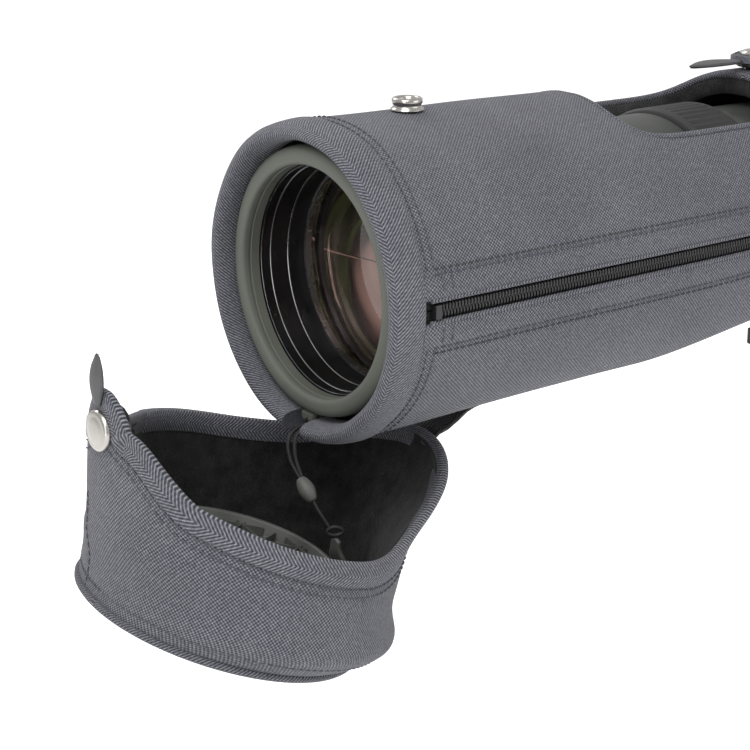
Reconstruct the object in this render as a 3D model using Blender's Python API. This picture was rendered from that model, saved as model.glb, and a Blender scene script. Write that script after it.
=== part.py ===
"""Stay-on carry case for a spotting telescope, fitted on the telescope that gives it its shape.

The case is a padded fabric sleeve with a side zip, a front cover that drops open on a webbing
strap, and a rear hood over the eyepiece.  Both covers close with snaps.  The telescope inside has
a focus ring, a zoom ring and a sliding eyecup, and stands on its tripod foot.

Units are metres, +Z is up and +X points from the lens to the eyepiece.  The origin is the centre
of the tripod foot's lower face.  The design positions s, y, h count from the centre of the lens
hood's front edge: s rearwards along the optical axis, y to the right, h upwards.
"""
import math

import bmesh
import bpy
from mathutils import Matrix, Vector

MM = 0.001
GAP = 0.3 * MM                      # air between pieces that touch

# ---- driving dimensions -------------------------------------------------------------------
FOOT_S = 285 * MM                   # tripod foot centre behind the hood's front edge
AXIS_H = 75 * MM                    # optical axis above the foot's lower face
HOOD_R = 52 * MM                    # rubber hood ring, outside
BORE_R = 44.8 * MM                  # hood bore
LENS_R = 42.5 * MM                  # objective lens
BARREL_R = 45 * MM                  # telescope barrel under the top opening
SLEEVE_R = 61.4 * MM                # sleeve, outside, at the front
SIDE_TAPER = 0.02                   # sleeve half width lost per length
TOP_TAPER = 0.015
SLEEVE_FRONT = 8 * MM               # hem seam
TAPER_START = 290 * MM              # the sleeve narrows towards the eyepiece from here
SLEEVE_END = 345 * MM
REAR_HALF_WIDTH = 47 * MM
REAR_DEPTH = 46 * MM
BRIDGE_TOP = 58 * MM                # height of the fabric bridge behind the top opening
BELLY = 50 * MM                     # depth of the sleeve below the axis, rear half
FABRIC = 2.4 * MM                   # outer fabric with its padding
LINING = 0.9 * MM
THIN_LINING = 0.6 * MM
OPENING_S = (130 * MM, 228 * MM)    # top opening, along the sleeve
OPENING_HALF_ANGLE = 40
ZIP_START = 16 * MM
ZIP_END = 292 * MM
STUD_S = 47 * MM                    # front snap stud
REAR_STUD_S = 240 * MM
HINGE = (60 * MM, -72 * MM)         # front cover's strap hinge, s and h
OPEN_ANGLE = 72.5                     # how far the front cover hangs open
TONGUE_HINGE = (10 * MM, 69.5 * MM)
REAR_HINGE = (348 * MM, -52 * MM)
COVER_BASE_S = -19.5 * MM           # front cover's end panel when closed
COVER_BASE_R = 56.5 * MM
COVER_BASE_Y = 2 * MM               # its centre, right of and above the optical axis
COVER_BASE_H = 8 * MM
COVER_SKEW = 7                      # the soft cover sits a little askew, degrees about Z
COVER_HALF_WIDTH = 65.6 * MM
COVER_SLUMP = 12 * MM               # how far its empty side sags in
COVER_TUCK = 6 * MM                 # how far it draws in beside the tongue
HEM = 9.5 * MM                      # width of the cover's turned mouth hem
NOTCH_ANGLE = 30                    # half the angle that the tongue's root takes
TONGUE_SNAP_S = 46 * MM
CAP_R = 45 * MM                     # lens cap lying in the cover
CAP_DEPTH = 8.4 * MM
CAP_CENTRE = (-5.2 * MM, 3 * MM, 11 * MM)
CAP_DIRECTION = (1, -0.142, 0.09)
CAP_LUG = ((6.6 * MM, -11 * MM, -31 * MM), (14.2 * MM, -12.5 * MM, -26.5 * MM))
CORD_R = 0.75 * MM
SLIT_ANGLE = 185                    # the front hem's slit, from the top towards -Y
HOOD_GAP = 2.4 * MM                 # air between sleeve and rear hood
HOOD_END = 425 * MM


def at(s, y, h):
    """A design position as a world vector."""
    return Vector((s - FOOT_S, y, h + AXIS_H))


def clear_scene():
    for obj in list(bpy.data.objects):
        bpy.data.objects.remove(obj, do_unlink=True)


# ---- materials ----------------------------------------------------------------------------
def make_material(name, colour, roughness, metallic=0.0, transmission=0.0):
    material = bpy.data.materials.new(name)
    material.use_nodes = True
    shader = material.node_tree.nodes["Principled BSDF"]
    shader.inputs["Base Color"].default_value = (*colour, 1.0)
    shader.inputs["Roughness"].default_value = roughness
    shader.inputs["Metallic"].default_value = metallic
    shader.inputs["Transmission Weight"].default_value = transmission
    material.diffuse_color = (*colour, 1.0)
    return material


LOOKS = {
    "fabric": ((0.13, 0.14, 0.17), 0.9, 0.0, 0.0),
    "lining": ((0.012, 0.012, 0.013), 1.0, 0.0, 0.0),
    "webbing": ((0.01, 0.01, 0.011), 0.85, 0.0, 0.0),
    "coil": ((0.012, 0.012, 0.014), 0.4, 0.0, 0.0),
    "nickel": ((0.6, 0.57, 0.52), 0.25, 1.0, 0.0),
    "leather": ((0.03, 0.03, 0.033), 0.6, 0.0, 0.0),
    "rubber": ((0.085, 0.09, 0.075), 0.75, 0.0, 0.0),
    "black_metal": ((0.01, 0.01, 0.011), 0.45, 0.6, 0.0),
    "armour": ((0.05, 0.055, 0.05), 0.6, 0.0, 0.0),
    "glass": ((0.5, 0.45, 0.45), 0.03, 0.0, 0.9),
    "plastic": ((0.025, 0.026, 0.025), 0.55, 0.0, 0.0),
    "cord": ((0.006, 0.006, 0.007), 0.7, 0.0, 0.0),
}


# ---- building tools -----------------------------------------------------------------------
def add_object(name, mesh, look, pivot=None, parent=None):
    """Link a world-space mesh as an object whose origin is at pivot."""
    pivot = pivot or Vector((0, 0, 0))
    mesh.transform(Matrix.Translation(-pivot))
    obj = bpy.data.objects.new(name, mesh)
    bpy.context.scene.collection.objects.link(obj)
    mesh.materials.append(make_material(name + "_look", *LOOKS[look]))
    mesh.shade_smooth()
    mesh.set_sharp_from_angle(angle=math.radians(35))
    obj.location = pivot
    if parent:
        obj.parent = parent
        obj.location = pivot - Vector(parent["rest_origin"])
    return obj


def add_pivot(name, origin, parent=None):
    """An empty on a joint's axis; children are modelled in the closed pose."""
    empty = bpy.data.objects.new(name, None)
    bpy.context.scene.collection.objects.link(empty)
    empty["rest_origin"] = tuple(origin)
    empty.location = origin
    if parent:
        empty.parent = parent
        empty.location = origin - Vector(parent["rest_origin"])
    return empty


def mesh_from(bm, name):
    bmesh.ops.recalc_face_normals(bm, faces=bm.faces)
    mesh = bpy.data.meshes.new(name)
    bm.to_mesh(mesh)
    bm.free()
    return mesh


def grid_mesh(name, rows, closed=False, pole=None):
    """Quads between rows of points; closed joins each row's ends; pole closes the last row."""
    bm = bmesh.new()
    grid = [[bm.verts.new(point) for point in row] for row in rows]
    count = len(rows[0])
    steps = count if closed else count - 1
    for lower, upper in zip(grid, grid[1:]):
        for i in range(steps):
            j = (i + 1) % count
            bm.faces.new((lower[i], lower[j], upper[j], upper[i]))
    if pole is not None:
        tip = bm.verts.new(pole)
        for i in range(steps):
            bm.faces.new((grid[-1][i], grid[-1][(i + 1) % count], tip))
    bmesh.ops.triangulate(bm, faces=bm.faces)
    return mesh_from(bm, name)


def cloth(name, rows, thickness, look, closed=False, pole=None, inside=None, **placing):
    """A fabric panel: a surface thickened away from its outer side, towards inside."""
    mesh = grid_mesh(name, rows, closed, pole)
    centre = inside if inside is not None else at(rows_middle(rows), 0, 0)
    face = max(mesh.polygons, key=lambda polygon: polygon.area)
    if face.normal.dot(face.center - centre) < 0:
        mesh.flip_normals()
    obj = add_object(name, mesh, look, **placing)
    solidify = obj.modifiers.new("padding", "SOLIDIFY")
    solidify.thickness = thickness
    solidify.offset = -1
    solidify.use_even_offset = True
    return obj


def rows_middle(rows):
    """The design position s halfway along a set of rows."""
    stations = [point.x for row in rows for point in row]
    return (min(stations) + max(stations)) / 2 + FOOT_S


def lathe(name, profile, look, origin=None, direction=(1, 0, 0), segments=28, start=0, sweep=360,
          **placing):
    """Turn (distance along the direction, radius) points; an open profile ends on the axis."""
    origin = at(0, 0, 0) if origin is None else origin
    along = Vector(direction).normalized()
    side = Vector((0, 0, 1)) if abs(along.z) < 0.9 else Vector((1, 0, 0))
    side = (side - along * side.dot(along)).normalized()
    side = Matrix.Rotation(math.radians(start), 3, along) @ side
    bm = bmesh.new()
    verts = [bm.verts.new(origin + along * t + side * r) for t, r in profile]
    edges = [bm.edges.new(pair) for pair in zip(verts, verts[1:])]
    if profile[0][1] > 0:
        edges.append(bm.edges.new((verts[-1], verts[0])))
    bmesh.ops.spin(bm, geom=verts + edges, cent=origin, axis=along, dvec=(0, 0, 0),
                   angle=math.radians(sweep), steps=segments, use_merge=False,
                   use_duplicate=False)
    bmesh.ops.remove_doubles(bm, verts=bm.verts, dist=1e-6)
    if sweep < 360:
        ends = [edge for edge in bm.edges if len(edge.link_faces) == 1]
        bmesh.ops.holes_fill(bm, edges=ends, sides=0)
    return add_object(name, mesh_from(bm, name), look, **placing)


def block(name, low, high, look, bevel=0.0, **placing):
    """A box between two design positions."""
    low, high = at(*low), at(*high)
    bm = bmesh.new()
    size = high - low
    bmesh.ops.create_cube(bm, size=1, matrix=Matrix.Translation((low + high) / 2)
                          @ Matrix.Diagonal((*size, 1)))
    if bevel:
        bmesh.ops.bevel(bm, geom=bm.edges[:], offset=bevel, segments=2, affect="EDGES",
                        profile=0.5)
    return add_object(name, mesh_from(bm, name), look, **placing)


def prism(name, outline, offset, look, **placing):
    """Extrude a closed outline of world points by an offset vector."""
    bm = bmesh.new()
    face = bm.faces.new([bm.verts.new(point) for point in outline])
    made = bmesh.ops.extrude_face_region(bm, geom=[face])
    moved = [item for item in made["geom"] if isinstance(item, bmesh.types.BMVert)]
    bmesh.ops.translate(bm, verts=moved, vec=offset)
    return add_object(name, mesh_from(bm, name), look, **placing)


def cut(obj, cutter):
    """Cut one solid by another, which stays as a hidden guide."""
    modifier = obj.modifiers.new("cut", "BOOLEAN")
    modifier.operation = "DIFFERENCE"
    modifier.object = cutter
    cutter.hide_render = True
    cutter.display_type = "WIRE"


def cord_tube(name, points, radius, look, **placing):
    """A round cord along a smooth curve through its route's points."""
    curve = bpy.data.curves.new(name, "CURVE")
    curve.dimensions = "3D"
    curve.bevel_depth = radius
    curve.bevel_resolution = 2
    curve.use_fill_caps = True
    spline = curve.splines.new("POLY")
    route = smooth_route(points, 2.4 * radius * 2)
    spline.points.add(len(route) - 1)
    for target, point in zip(spline.points, route):
        target.co = (*point, 1)
    obj = bpy.data.objects.new(name, curve)
    bpy.context.scene.collection.objects.link(obj)
    curve.materials.append(make_material(name + "_look", *LOOKS[look]))
    return obj


def smooth_route(points, step):
    """Points every step or so along a Catmull-Rom curve through the route."""
    padded = [points[0] * 2 - points[1], *points, points[-1] * 2 - points[-2]]
    route = [points[0]]
    for a, b, c, d in zip(padded, padded[1:], padded[2:], padded[3:]):
        pieces = max(1, round((c - b).length / step))
        for i in range(1, pieces + 1):
            t = i / pieces
            route.append(0.5 * (2 * b + (c - a) * t + (2 * a - 5 * b + 4 * c - d) * t * t
                                + (3 * b - a - 3 * c + d) * t * t * t))
    return route


def between(low, high, count):
    """count + 1 evenly spaced values."""
    return [low + (high - low) * i / count for i in range(count + 1)]


# ---- the sleeve's shape -------------------------------------------------------------------
def blend(low, high, t):
    return low + (high - low) * t


def smooth_step(t):
    t = min(1, max(0, t))
    return t * t * (3 - 2 * t)


def rear_share(s):
    """0 along the sleeve, rising to 1 at its rear end."""
    return min(1, max(0, (s - TAPER_START) / (SLEEVE_END - TAPER_START)))


def half_width(s):
    straight = SLEEVE_R - SIDE_TAPER * min(s, TAPER_START)
    return blend(straight, REAR_HALF_WIDTH, rear_share(s))


def top_height(s):
    straight = max(SLEEVE_R - TOP_TAPER * s, BRIDGE_TOP)
    return blend(straight, REAR_HALF_WIDTH, rear_share(s))


def belly_depth(s):
    front = SLEEVE_R - TOP_TAPER * s
    waisted = blend(front, BELLY, smooth_step((s - 150 * MM) / (95 * MM)))
    return blend(waisted, REAR_DEPTH, rear_share(s))


def on_sleeve(s, angle, proud=0.0):
    """A point on the sleeve: angle in degrees from the top towards the zip side (-Y)."""
    turn = math.radians(angle)
    height = top_height(s) if math.cos(turn) > 0 else belly_depth(s)
    return at(s, -(half_width(s) + proud) * math.sin(turn), (height + proud) * math.cos(turn))


def sleeve_rows(stations, angles, proud=0.0):
    return [[on_sleeve(s, angle, proud) for angle in angles] for s in stations]


def opening_loop(grow, proud, count=24):
    """The top opening's outline: a rounded rectangle drawn on the sleeve."""
    middle = sum(OPENING_S) / 2
    half = (OPENING_S[1] - OPENING_S[0]) / 2 + grow
    spread = OPENING_HALF_ANGLE + math.degrees(grow / SLEEVE_R)
    loop = []
    for i in range(count):
        turn = 2 * math.pi * (i + 0.5) / count
        x = math.copysign(abs(math.cos(turn)) ** 0.4, math.cos(turn))
        y = math.copysign(abs(math.sin(turn)) ** 0.4, math.sin(turn))
        loop.append(on_sleeve(middle + half * x, spread * y, proud))
    return loop


def opening_cutter(name, grow):
    """A plug that removes the top opening from a sleeve panel."""
    bm = bmesh.new()
    rings = [[bm.verts.new(point) for point in opening_loop(grow, proud)]
             for proud in (-11 * MM, 10 * MM)]
    middle = sum(OPENING_S) / 2
    tips = [bm.verts.new(on_sleeve(middle, 0, proud)) for proud in (-16 * MM, 16 * MM)]
    count = len(rings[0])
    for i in range(count):
        j = (i + 1) % count
        bm.faces.new((rings[0][i], rings[0][j], rings[1][j], rings[1][i]))
        bm.faces.new((rings[0][i], rings[0][j], tips[0]))
        bm.faces.new((rings[1][i], rings[1][j], tips[1]))
    return add_object(name, mesh_from(bm, name), "fabric")


def build_sleeve():
    """Upper and lower panels with their linings, hems and the two snap studs."""
    stations = [SLEEVE_FRONT, *between(60 * MM, TAPER_START, 6), 318 * MM, SLEEVE_END]
    zip_edge = 4.2                                    # degrees from the zip's centre line
    upper = between(-89.4, 90 - zip_edge, 18)
    lower = between(90 + zip_edge, 269.4, 18)
    opening = opening_cutter("opening_cutter", 2.9 * MM)
    foot_slot = block("foot_slot_cutter", (259 * MM, -19 * MM, -75 * MM),
                      (311 * MM, 19 * MM, -40 * MM), "fabric", bevel=6 * MM)
    middle = at(170 * MM, 0, 0)
    panel = cloth("sleeve_upper_panel", sleeve_rows(stations, upper), FABRIC, "fabric",
                  inside=middle)
    cut(panel, opening)
    panel = cloth("sleeve_lower_panel", sleeve_rows(stations, lower), FABRIC, "fabric",
                  inside=middle)
    cut(panel, foot_slot)
    sunk = -(FABRIC + 2 * GAP)
    lining = cloth("lining_upper", sleeve_rows(stations, between(-89, 77, 12), sunk),
                   LINING, "lining", inside=middle)
    cut(lining, opening)
    lining = cloth("lining_lower", sleeve_rows(stations, between(103, 269, 12), sunk),
                   LINING, "lining", inside=middle)
    cut(lining, foot_slot)
    build_opening_hem()
    build_front_hem()
    build_stud("front", STUD_S, 6.0 * MM, 5.0 * MM)
    build_stud("rear", REAR_STUD_S, 4.5 * MM, 3.0 * MM)


def build_opening_hem():
    """The turned edge round the top opening: a soft roll between panel and lining."""
    bm = bmesh.new()
    sides = 6
    loop = opening_loop(0.0, -1.7 * MM, 28)
    count = len(loop)
    rings = []
    for i, point in enumerate(loop):
        ahead = (loop[(i + 1) % count] - loop[i - 1]).normalized()
        out = (point - at(point.x + FOOT_S, 0, 0)).normalized()
        out = (out - ahead * out.dot(ahead)).normalized()
        across = ahead.cross(out)
        rings.append([bm.verts.new(point + (out * math.cos(math.radians(60 * k + 30))
                                            + across * math.sin(math.radians(60 * k + 30)))
                                   * 2.2 * MM) for k in range(sides)])
    for i in range(count):
        for k in range(sides):
            bm.faces.new((rings[i][k], rings[(i + 1) % count][k],
                          rings[(i + 1) % count][(k + 1) % sides], rings[i][(k + 1) % sides]))
    add_object("opening_hem", mesh_from(bm, "opening_hem"), "fabric")


def build_front_hem():
    """The rolled front edge, open at the bottom where the lens cap's cord comes out."""
    seam = SLEEVE_FRONT - GAP
    outer = SLEEVE_R
    profile = [(seam, outer - 0.2 * MM), (2 * MM, outer + 0.1 * MM), (-2 * MM, outer - 0.3 * MM),
               (-4.6 * MM, outer - 1.8 * MM), (-5.6 * MM, outer - 4.0 * MM),
               (-4.4 * MM, outer - 6.3 * MM), (0 * MM, outer - 7.3 * MM), (seam, outer - 7.3 * MM)]
    lathe("front_hem", profile, "fabric", segments=30, start=SLIT_ANGLE + 6, sweep=348)


def build_stud(end, s, radius, height):
    """A snap stud on top of the sleeve and its washer under the lining."""
    foot = on_sleeve(s, 0)
    profile = [(GAP, 0), (GAP, radius), (height * 0.2, radius), (height * 0.3, radius * 0.84),
               (height * 0.5, radius * 0.84), (height * 0.65, radius), (height * 0.85, radius),
               (height, radius * 0.85), (height, radius * 0.5), (height * 0.7, radius * 0.4),
               (height * 0.7, 0)]
    lathe(end + "_snap_stud", profile, "nickel", origin=foot, direction=(0, 0, 1), segments=18)
    under = foot - Vector((0, 0, FABRIC + LINING + 5 * GAP))
    lathe(end + "_stud_washer", [(0, 0), (0, 5 * MM), (-0.9 * MM, 5 * MM), (-0.9 * MM, 0)],
          "nickel", origin=under, direction=(0, 0, 1), segments=12)


# ---- the zip ------------------------------------------------------------------------------
def zip_point(s, h, depth):
    """A point at the zip: h above its centre line, depth out from the sleeve's side."""
    return at(s, -(half_width(s) + depth), h)


def zip_bar(name, s_range, h_range, depth_range, look):
    """A straight strip along the zip."""
    corners = [(h_range[0], depth_range[0]), (h_range[1], depth_range[0]),
               (h_range[1], depth_range[1]), (h_range[0], depth_range[1])]
    bm = bmesh.new()
    ends = [[bm.verts.new(zip_point(s, h, depth)) for h, depth in corners] for s in s_range]
    for i in range(4):
        j = (i + 1) % 4
        bm.faces.new((ends[0][i], ends[0][j], ends[1][j], ends[1][i]))
    bm.faces.new(ends[0])
    bm.faces.new(ends[1])
    return add_object(name, mesh_from(bm, name), look)


def build_zip():
    """Tapes, coils, end stops and a slider with its pull, closed at the rear."""
    tape_depth = (-(FABRIC + 2.0 * MM), -(FABRIC + 1.2 * MM))
    coil_depth = (-(FABRIC + 0.9 * MM), -0.7 * MM)
    for side, sign in (("upper", 1), ("lower", -1)):
        zip_bar("zip_tape_" + side, (10 * MM, ZIP_END - 0.5 * MM), sorted((sign * 0.4 * MM,
                sign * 8 * MM)), tape_depth, "webbing")
        zip_bar("zip_coil_" + side, (ZIP_START, ZIP_END - 4 * MM), sorted((sign * 0.2 * MM,
                sign * 2.8 * MM)), coil_depth, "coil")
    zip_bar("zip_front_stop", (ZIP_START - 3 * MM, ZIP_START - GAP), (-2.6 * MM, 2.6 * MM),
            (coil_depth[0], 0.0), "coil")
    zip_bar("zip_rear_stop", (ZIP_END - 4 * MM + GAP, ZIP_END - 1 * MM), (-2.6 * MM, 2.6 * MM),
            (coil_depth[0], 0.0), "coil")
    centre = ZIP_END - 12 * MM
    zip_bar("zip_slider", (centre - 5.5 * MM, centre + 5.5 * MM), (-3.2 * MM, 3.2 * MM),
            (-0.3 * MM, 0.9 * MM), "nickel")
    slider = bpy.data.objects["zip_slider"]
    posts = [zip_bar("slider_post_guide" + str(i), (centre - 1.0 * MM, centre + 1.0 * MM), h,
                     (0.5 * MM, 3.6 * MM), "nickel")
             for i, h in enumerate(((-2.9 * MM, -1.9 * MM), (1.9 * MM, 2.9 * MM)))]
    bar = zip_bar("slider_bar_guide", (centre - 0.5 * MM, centre + 0.5 * MM),
                  (-2.4 * MM, 2.4 * MM), (2.6 * MM, 3.4 * MM), "nickel")
    for extra in (*posts, bar):
        joined = slider.modifiers.new("bridge", "BOOLEAN")
        joined.operation = "UNION"
        joined.object = extra
        extra.hide_render = True
        extra.display_type = "WIRE"
    pivot = zip_point(centre, 0, 3.0 * MM)
    eye = 1.9 * MM
    outline = []
    for i in range(13):
        turn = math.radians(40 + 280 * i / 12)
        outline.append(pivot + Vector((eye * math.cos(turn), -eye * math.sin(turn), -1.5 * MM)))
    stem = pivot + Vector((24 * MM, 0, -1.5 * MM))
    outline.append(stem + Vector((0, 0.5 * MM, 0)))
    outline.append(stem + Vector((0, -0.5 * MM, 0)))
    pull = prism("zip_pull", outline, Vector((0, 0, 3 * MM)), "nickel", pivot=pivot)
    hole = lathe("pull_eye_cutter", [(-3 * MM, 0), (-3 * MM, 1.0 * MM), (3 * MM, 1.0 * MM),
                                     (3 * MM, 0)], "nickel", origin=pivot, direction=(0, 0, 1),
                 segments=14)
    cut(pull, hole)


# ---- the front cover ----------------------------------------------------------------------
def cover_mouth_s(angle):
    """How far back the closed cover's mouth edge reaches; angle from the top towards -Y."""
    turn = math.radians(angle)
    sides = 33 * MM - 12 * MM * math.sin(turn) + 9 * MM * max(0, math.cos(turn)) ** 4
    bottom = max(0, -math.cos(turn)) ** 2.6
    return blend(sides, 62 * MM, bottom)


def ridge(x, width):
    """A soft ridge of height 1 at x = 0."""
    return math.exp(-(x / width) ** 2)


def sag(angle, s):
    """How far the soft wall draws in where it hangs empty and beside the tongue."""
    turn = angle % 360
    along = smooth_step((s + 24 * MM) / (26 * MM)) * (1 - smooth_step((s - 20 * MM) / (40 * MM)))
    empty = COVER_SLUMP * ridge(turn - 150, 55) * (0.3 + 0.7 * along)
    empty *= 1 - smooth_step((s - 20 * MM) / (42 * MM))
    tuck = COVER_TUCK * ridge(turn - 318, 22) * smooth_step((s + 12 * MM) / (30 * MM))
    return empty + tuck


def base_edge(angle):
    """The end panel's edge: its s, y and h."""
    turn = math.radians(angle)
    radius = COVER_BASE_R - sag(angle, COVER_BASE_S)
    y = COVER_BASE_Y - radius * math.sin(turn)
    s = COVER_BASE_S + y * math.tan(math.radians(COVER_SKEW))
    return s, y, COVER_BASE_H + radius * math.cos(turn)


def on_cover(angle, share, proud=0.0, mouth=None):
    """The closed cover's wall: share 0 at the end panel, 1 at the mouth edge."""
    turn = math.radians(angle)
    down = max(0, -math.cos(turn))
    up = max(0, math.cos(turn))
    base_s, base_y, base_h = base_edge(angle)
    reach = mouth if mouth is not None else cover_mouth_s(angle)
    s = blend(base_s, reach, share)
    rise = up * smooth_step((s + 8 * MM) / (18 * MM))
    height = blend(blend(65.4 * MM, 71.2 * MM, rise), 66.4 * MM, down)
    flare = 1 - (1 - min(1, (s - base_s) / (13 * MM))) ** 2
    drawn = sag(angle, s)
    y = blend(base_y, (drawn - COVER_HALF_WIDTH) * math.sin(turn), flare)
    h = blend(base_h, (height - drawn) * math.cos(turn), flare)
    return at(s, y - proud * math.sin(turn), h + proud * math.cos(turn))


def notch_mouth(angle):
    """The mouth edge, cut back at the top where the tongue hinges."""
    angle = (angle + 180) % 360 - 180
    if abs(angle) < NOTCH_ANGLE:
        return TONGUE_HINGE[0] - GAP
    return None


WALL_SHARES = (0.02, 0.1, 0.22, 0.45, 0.7, 1.0)
COVER_ANGLES = [12 * i for i in range(30)]


def cover_row(share, proud, short=0.0):
    """One ring of the wall; short keeps it that far ahead of the mouth edge."""
    row = []
    for angle in COVER_ANGLES:
        mouth = notch_mouth(angle)
        reach = mouth if mouth is not None else cover_mouth_s(angle) - short
        row.append(on_cover(angle, share, proud, reach))
    return row


def end_panel_rows(radius_shares, proud, crown):
    """Rings of the cover's end panel, crowned outwards."""
    centre_s = COVER_BASE_S + COVER_BASE_Y * math.tan(math.radians(COVER_SKEW))
    rows = []
    for share in radius_shares:
        row = []
        for angle in COVER_ANGLES:
            s, y, h = base_edge(angle)
            s = blend(centre_s, s, share) - crown * (1 - share ** 2) - proud
            row.append(at(s, blend(COVER_BASE_Y, y, share), blend(COVER_BASE_H, h, share)))
        rows.append(row)
    return rows


def build_front_cover():
    """The padded front cover with its lining, hem, tongue, snap and pull tab."""
    hinge_point = at(HINGE[0], 0, HINGE[1])
    hinge = add_pivot("cover_hinge", hinge_point)
    placing = {"pivot": hinge_point, "parent": hinge}
    inside = at(5 * MM, 0, 0)
    wall = [cover_row(share, 0.0, HEM + 3 * GAP) for share in WALL_SHARES]
    cloth("cover_wall", wall, FABRIC, "fabric", closed=True, inside=inside, **placing)
    crown = 4 * MM
    tip = at(COVER_BASE_S - crown - 2 * MM, COVER_BASE_Y, COVER_BASE_H)
    panel = end_panel_rows((0.985, 0.9, 0.5), 2 * MM, crown)
    cloth("cover_end_panel", panel, FABRIC, "fabric", closed=True, pole=tip, inside=inside,
          **placing)
    sunk = -(FABRIC + 2 * GAP)
    lining = [cover_row(share, sunk, HEM + 3 * GAP) for share in (1.0, 0.7, 0.45)]
    lining += end_panel_rows((0.86, 0.45), sunk + 1.2 * MM, crown)
    lining_tip = at(COVER_BASE_S - crown - sunk - 1.2 * MM, COVER_BASE_Y, COVER_BASE_H)
    cloth("cover_lining", lining, THIN_LINING, "lining", closed=True, pole=lining_tip,
          inside=inside, **placing)
    build_cover_hem(placing)
    build_tongue(hinge)
    build_lens_cap(placing)
    hinge.rotation_euler.y = -math.radians(OPEN_ANGLE)


def build_cover_hem(placing):
    """The mouth hem, from one side of the tongue round the bottom to the other."""
    rows = []
    angles = between(NOTCH_ANGLE + 6, 360 - NOTCH_ANGLE - 6, 24)
    for back in (HEM, HEM / 2, 0.0):
        row = []
        for angle in angles:
            row.append(on_cover(angle, 1.0, 0.2 * MM, cover_mouth_s(angle) - back))
        rows.append(row)
    cloth("cover_hem", rows, 3.4 * MM, "fabric", inside=at(5 * MM, 0, 0), **placing)


def tongue_half_width(share):
    """Half width of the front cover's tongue, from its root to its round tip."""
    body = blend(29 * MM, 35 * MM, min(1, share / 0.33))
    body = blend(body, 13.5 * MM, smooth_step((share - 0.33) / 0.42))
    tip = math.sqrt(max(0.0, 1 - max(0, (share - 0.74) / 0.27) ** 2))
    return body * tip


def build_tongue(hinge):
    """The tongue with its snap cap, socket and leather pull tab, flared as it hangs."""
    root = at(TONGUE_HINGE[0], 0, TONGUE_HINGE[1])
    pivot = add_pivot("tongue_hinge", root, hinge)
    placing = {"pivot": root, "parent": pivot}
    tip_s, tip_h = 61 * MM, 84.5 * MM
    root_h = 70.9 * MM
    rows = []
    for share in (0, 0.16, 0.33, 0.45, 0.6, 0.75, 0.83, 0.9, 0.96, 0.985):
        half = tongue_half_width(share)
        row = []
        for across in between(-1, 1, 10):
            y = across * half
            root_s = TONGUE_HINGE[0] + GAP + 5 * MM * (y / (29 * MM)) ** 2
            s = blend(root_s, tip_s, share)
            bend_radius = blend(67 * MM, 80 * MM, share)
            sag = bend_radius - math.sqrt(bend_radius ** 2 - y ** 2)
            row.append(at(s, y, blend(root_h, tip_h, share) - sag))
        rows.append(row)
    cloth("tongue_flap", rows, 3.2 * MM, "fabric", inside=at(30 * MM, 0, 40 * MM), **placing)
    slope = math.atan2(tip_h - root_h, tip_s - TONGUE_HINGE[0])
    up = Vector((-math.sin(slope), 0, math.cos(slope)))
    snap_share = (TONGUE_SNAP_S - TONGUE_HINGE[0]) / (tip_s - TONGUE_HINGE[0])
    snap = at(TONGUE_SNAP_S, 0, blend(root_h, tip_h, snap_share))
    dome = [(GAP, 0), (GAP, 7.8 * MM), (1.2 * MM, 7.8 * MM), (2.2 * MM, 6.4 * MM),
            (2.9 * MM, 3.5 * MM), (3.1 * MM, 0)]
    lathe("tongue_snap_cap", dome, "nickel", origin=snap, direction=up, segments=18, **placing)
    socket = [(-4.2 * MM, 7.3 * MM), (-4.2 * MM, 8.7 * MM), (-6.4 * MM, 8.7 * MM),
              (-7.0 * MM, 8.2 * MM), (-6.4 * MM, 7.3 * MM)]
    lathe("tongue_snap_socket", socket, "black_metal", origin=snap, direction=up, segments=18,
          **placing)
    tab_root = snap + Vector((math.cos(slope), 0, math.sin(slope))) * 8.6 * MM + up * 1.9 * MM
    pull_tab("front_pull_tab", tab_root, Vector((math.cos(slope), 0, math.sin(slope))),
             up, 19 * MM, 11 * MM, pivot=tab_root, parent=pivot)


def pull_tab(name, root, ahead, up, length, width, **placing):
    """A leaf-shaped leather tab, rounded at its free end."""
    outline = []
    for share in between(0, 1, 8):
        half = width / 2 * (0.72 + 0.28 * math.sin(math.pi * share))
        half *= math.sqrt(max(0.02, 1 - max(0, (share - 0.7) / 0.3) ** 2))
        outline.append((share * length, half))
    points = [root + ahead * x + Vector((0, y, 0)) for x, y in outline]
    points += [root + ahead * x - Vector((0, y, 0)) for x, y in reversed(outline)]
    return prism(name, points, up * -1.4 * MM, "leather", **placing)


def build_lens_cap(placing):
    """The telescope's lens cap, lying in the cover, with the lug for its cord."""
    profile = [(0, 0), (0, CAP_R - 1.5 * MM), (1.5 * MM, CAP_R), (CAP_DEPTH, CAP_R),
               (CAP_DEPTH, CAP_R - 2.4 * MM), (2.4 * MM, CAP_R - 2.4 * MM), (2.4 * MM, 0)]
    lathe("lens_cap", profile, "plastic", origin=at(*CAP_CENTRE), direction=CAP_DIRECTION,
          segments=24, **placing)
    low, high = at(*CAP_LUG[0]), at(*CAP_LUG[1])
    rise = high - low
    across = Vector((0, 1, 0))
    outline = [low - across * 5 * MM, low + across * 5 * MM, high + across * 2.4 * MM,
               high + rise.normalized() * 2 * MM, high - across * 2.4 * MM]
    prism("cap_lug", outline, rise.cross(across).normalized() * 1.8 * MM, "plastic", **placing)


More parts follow.
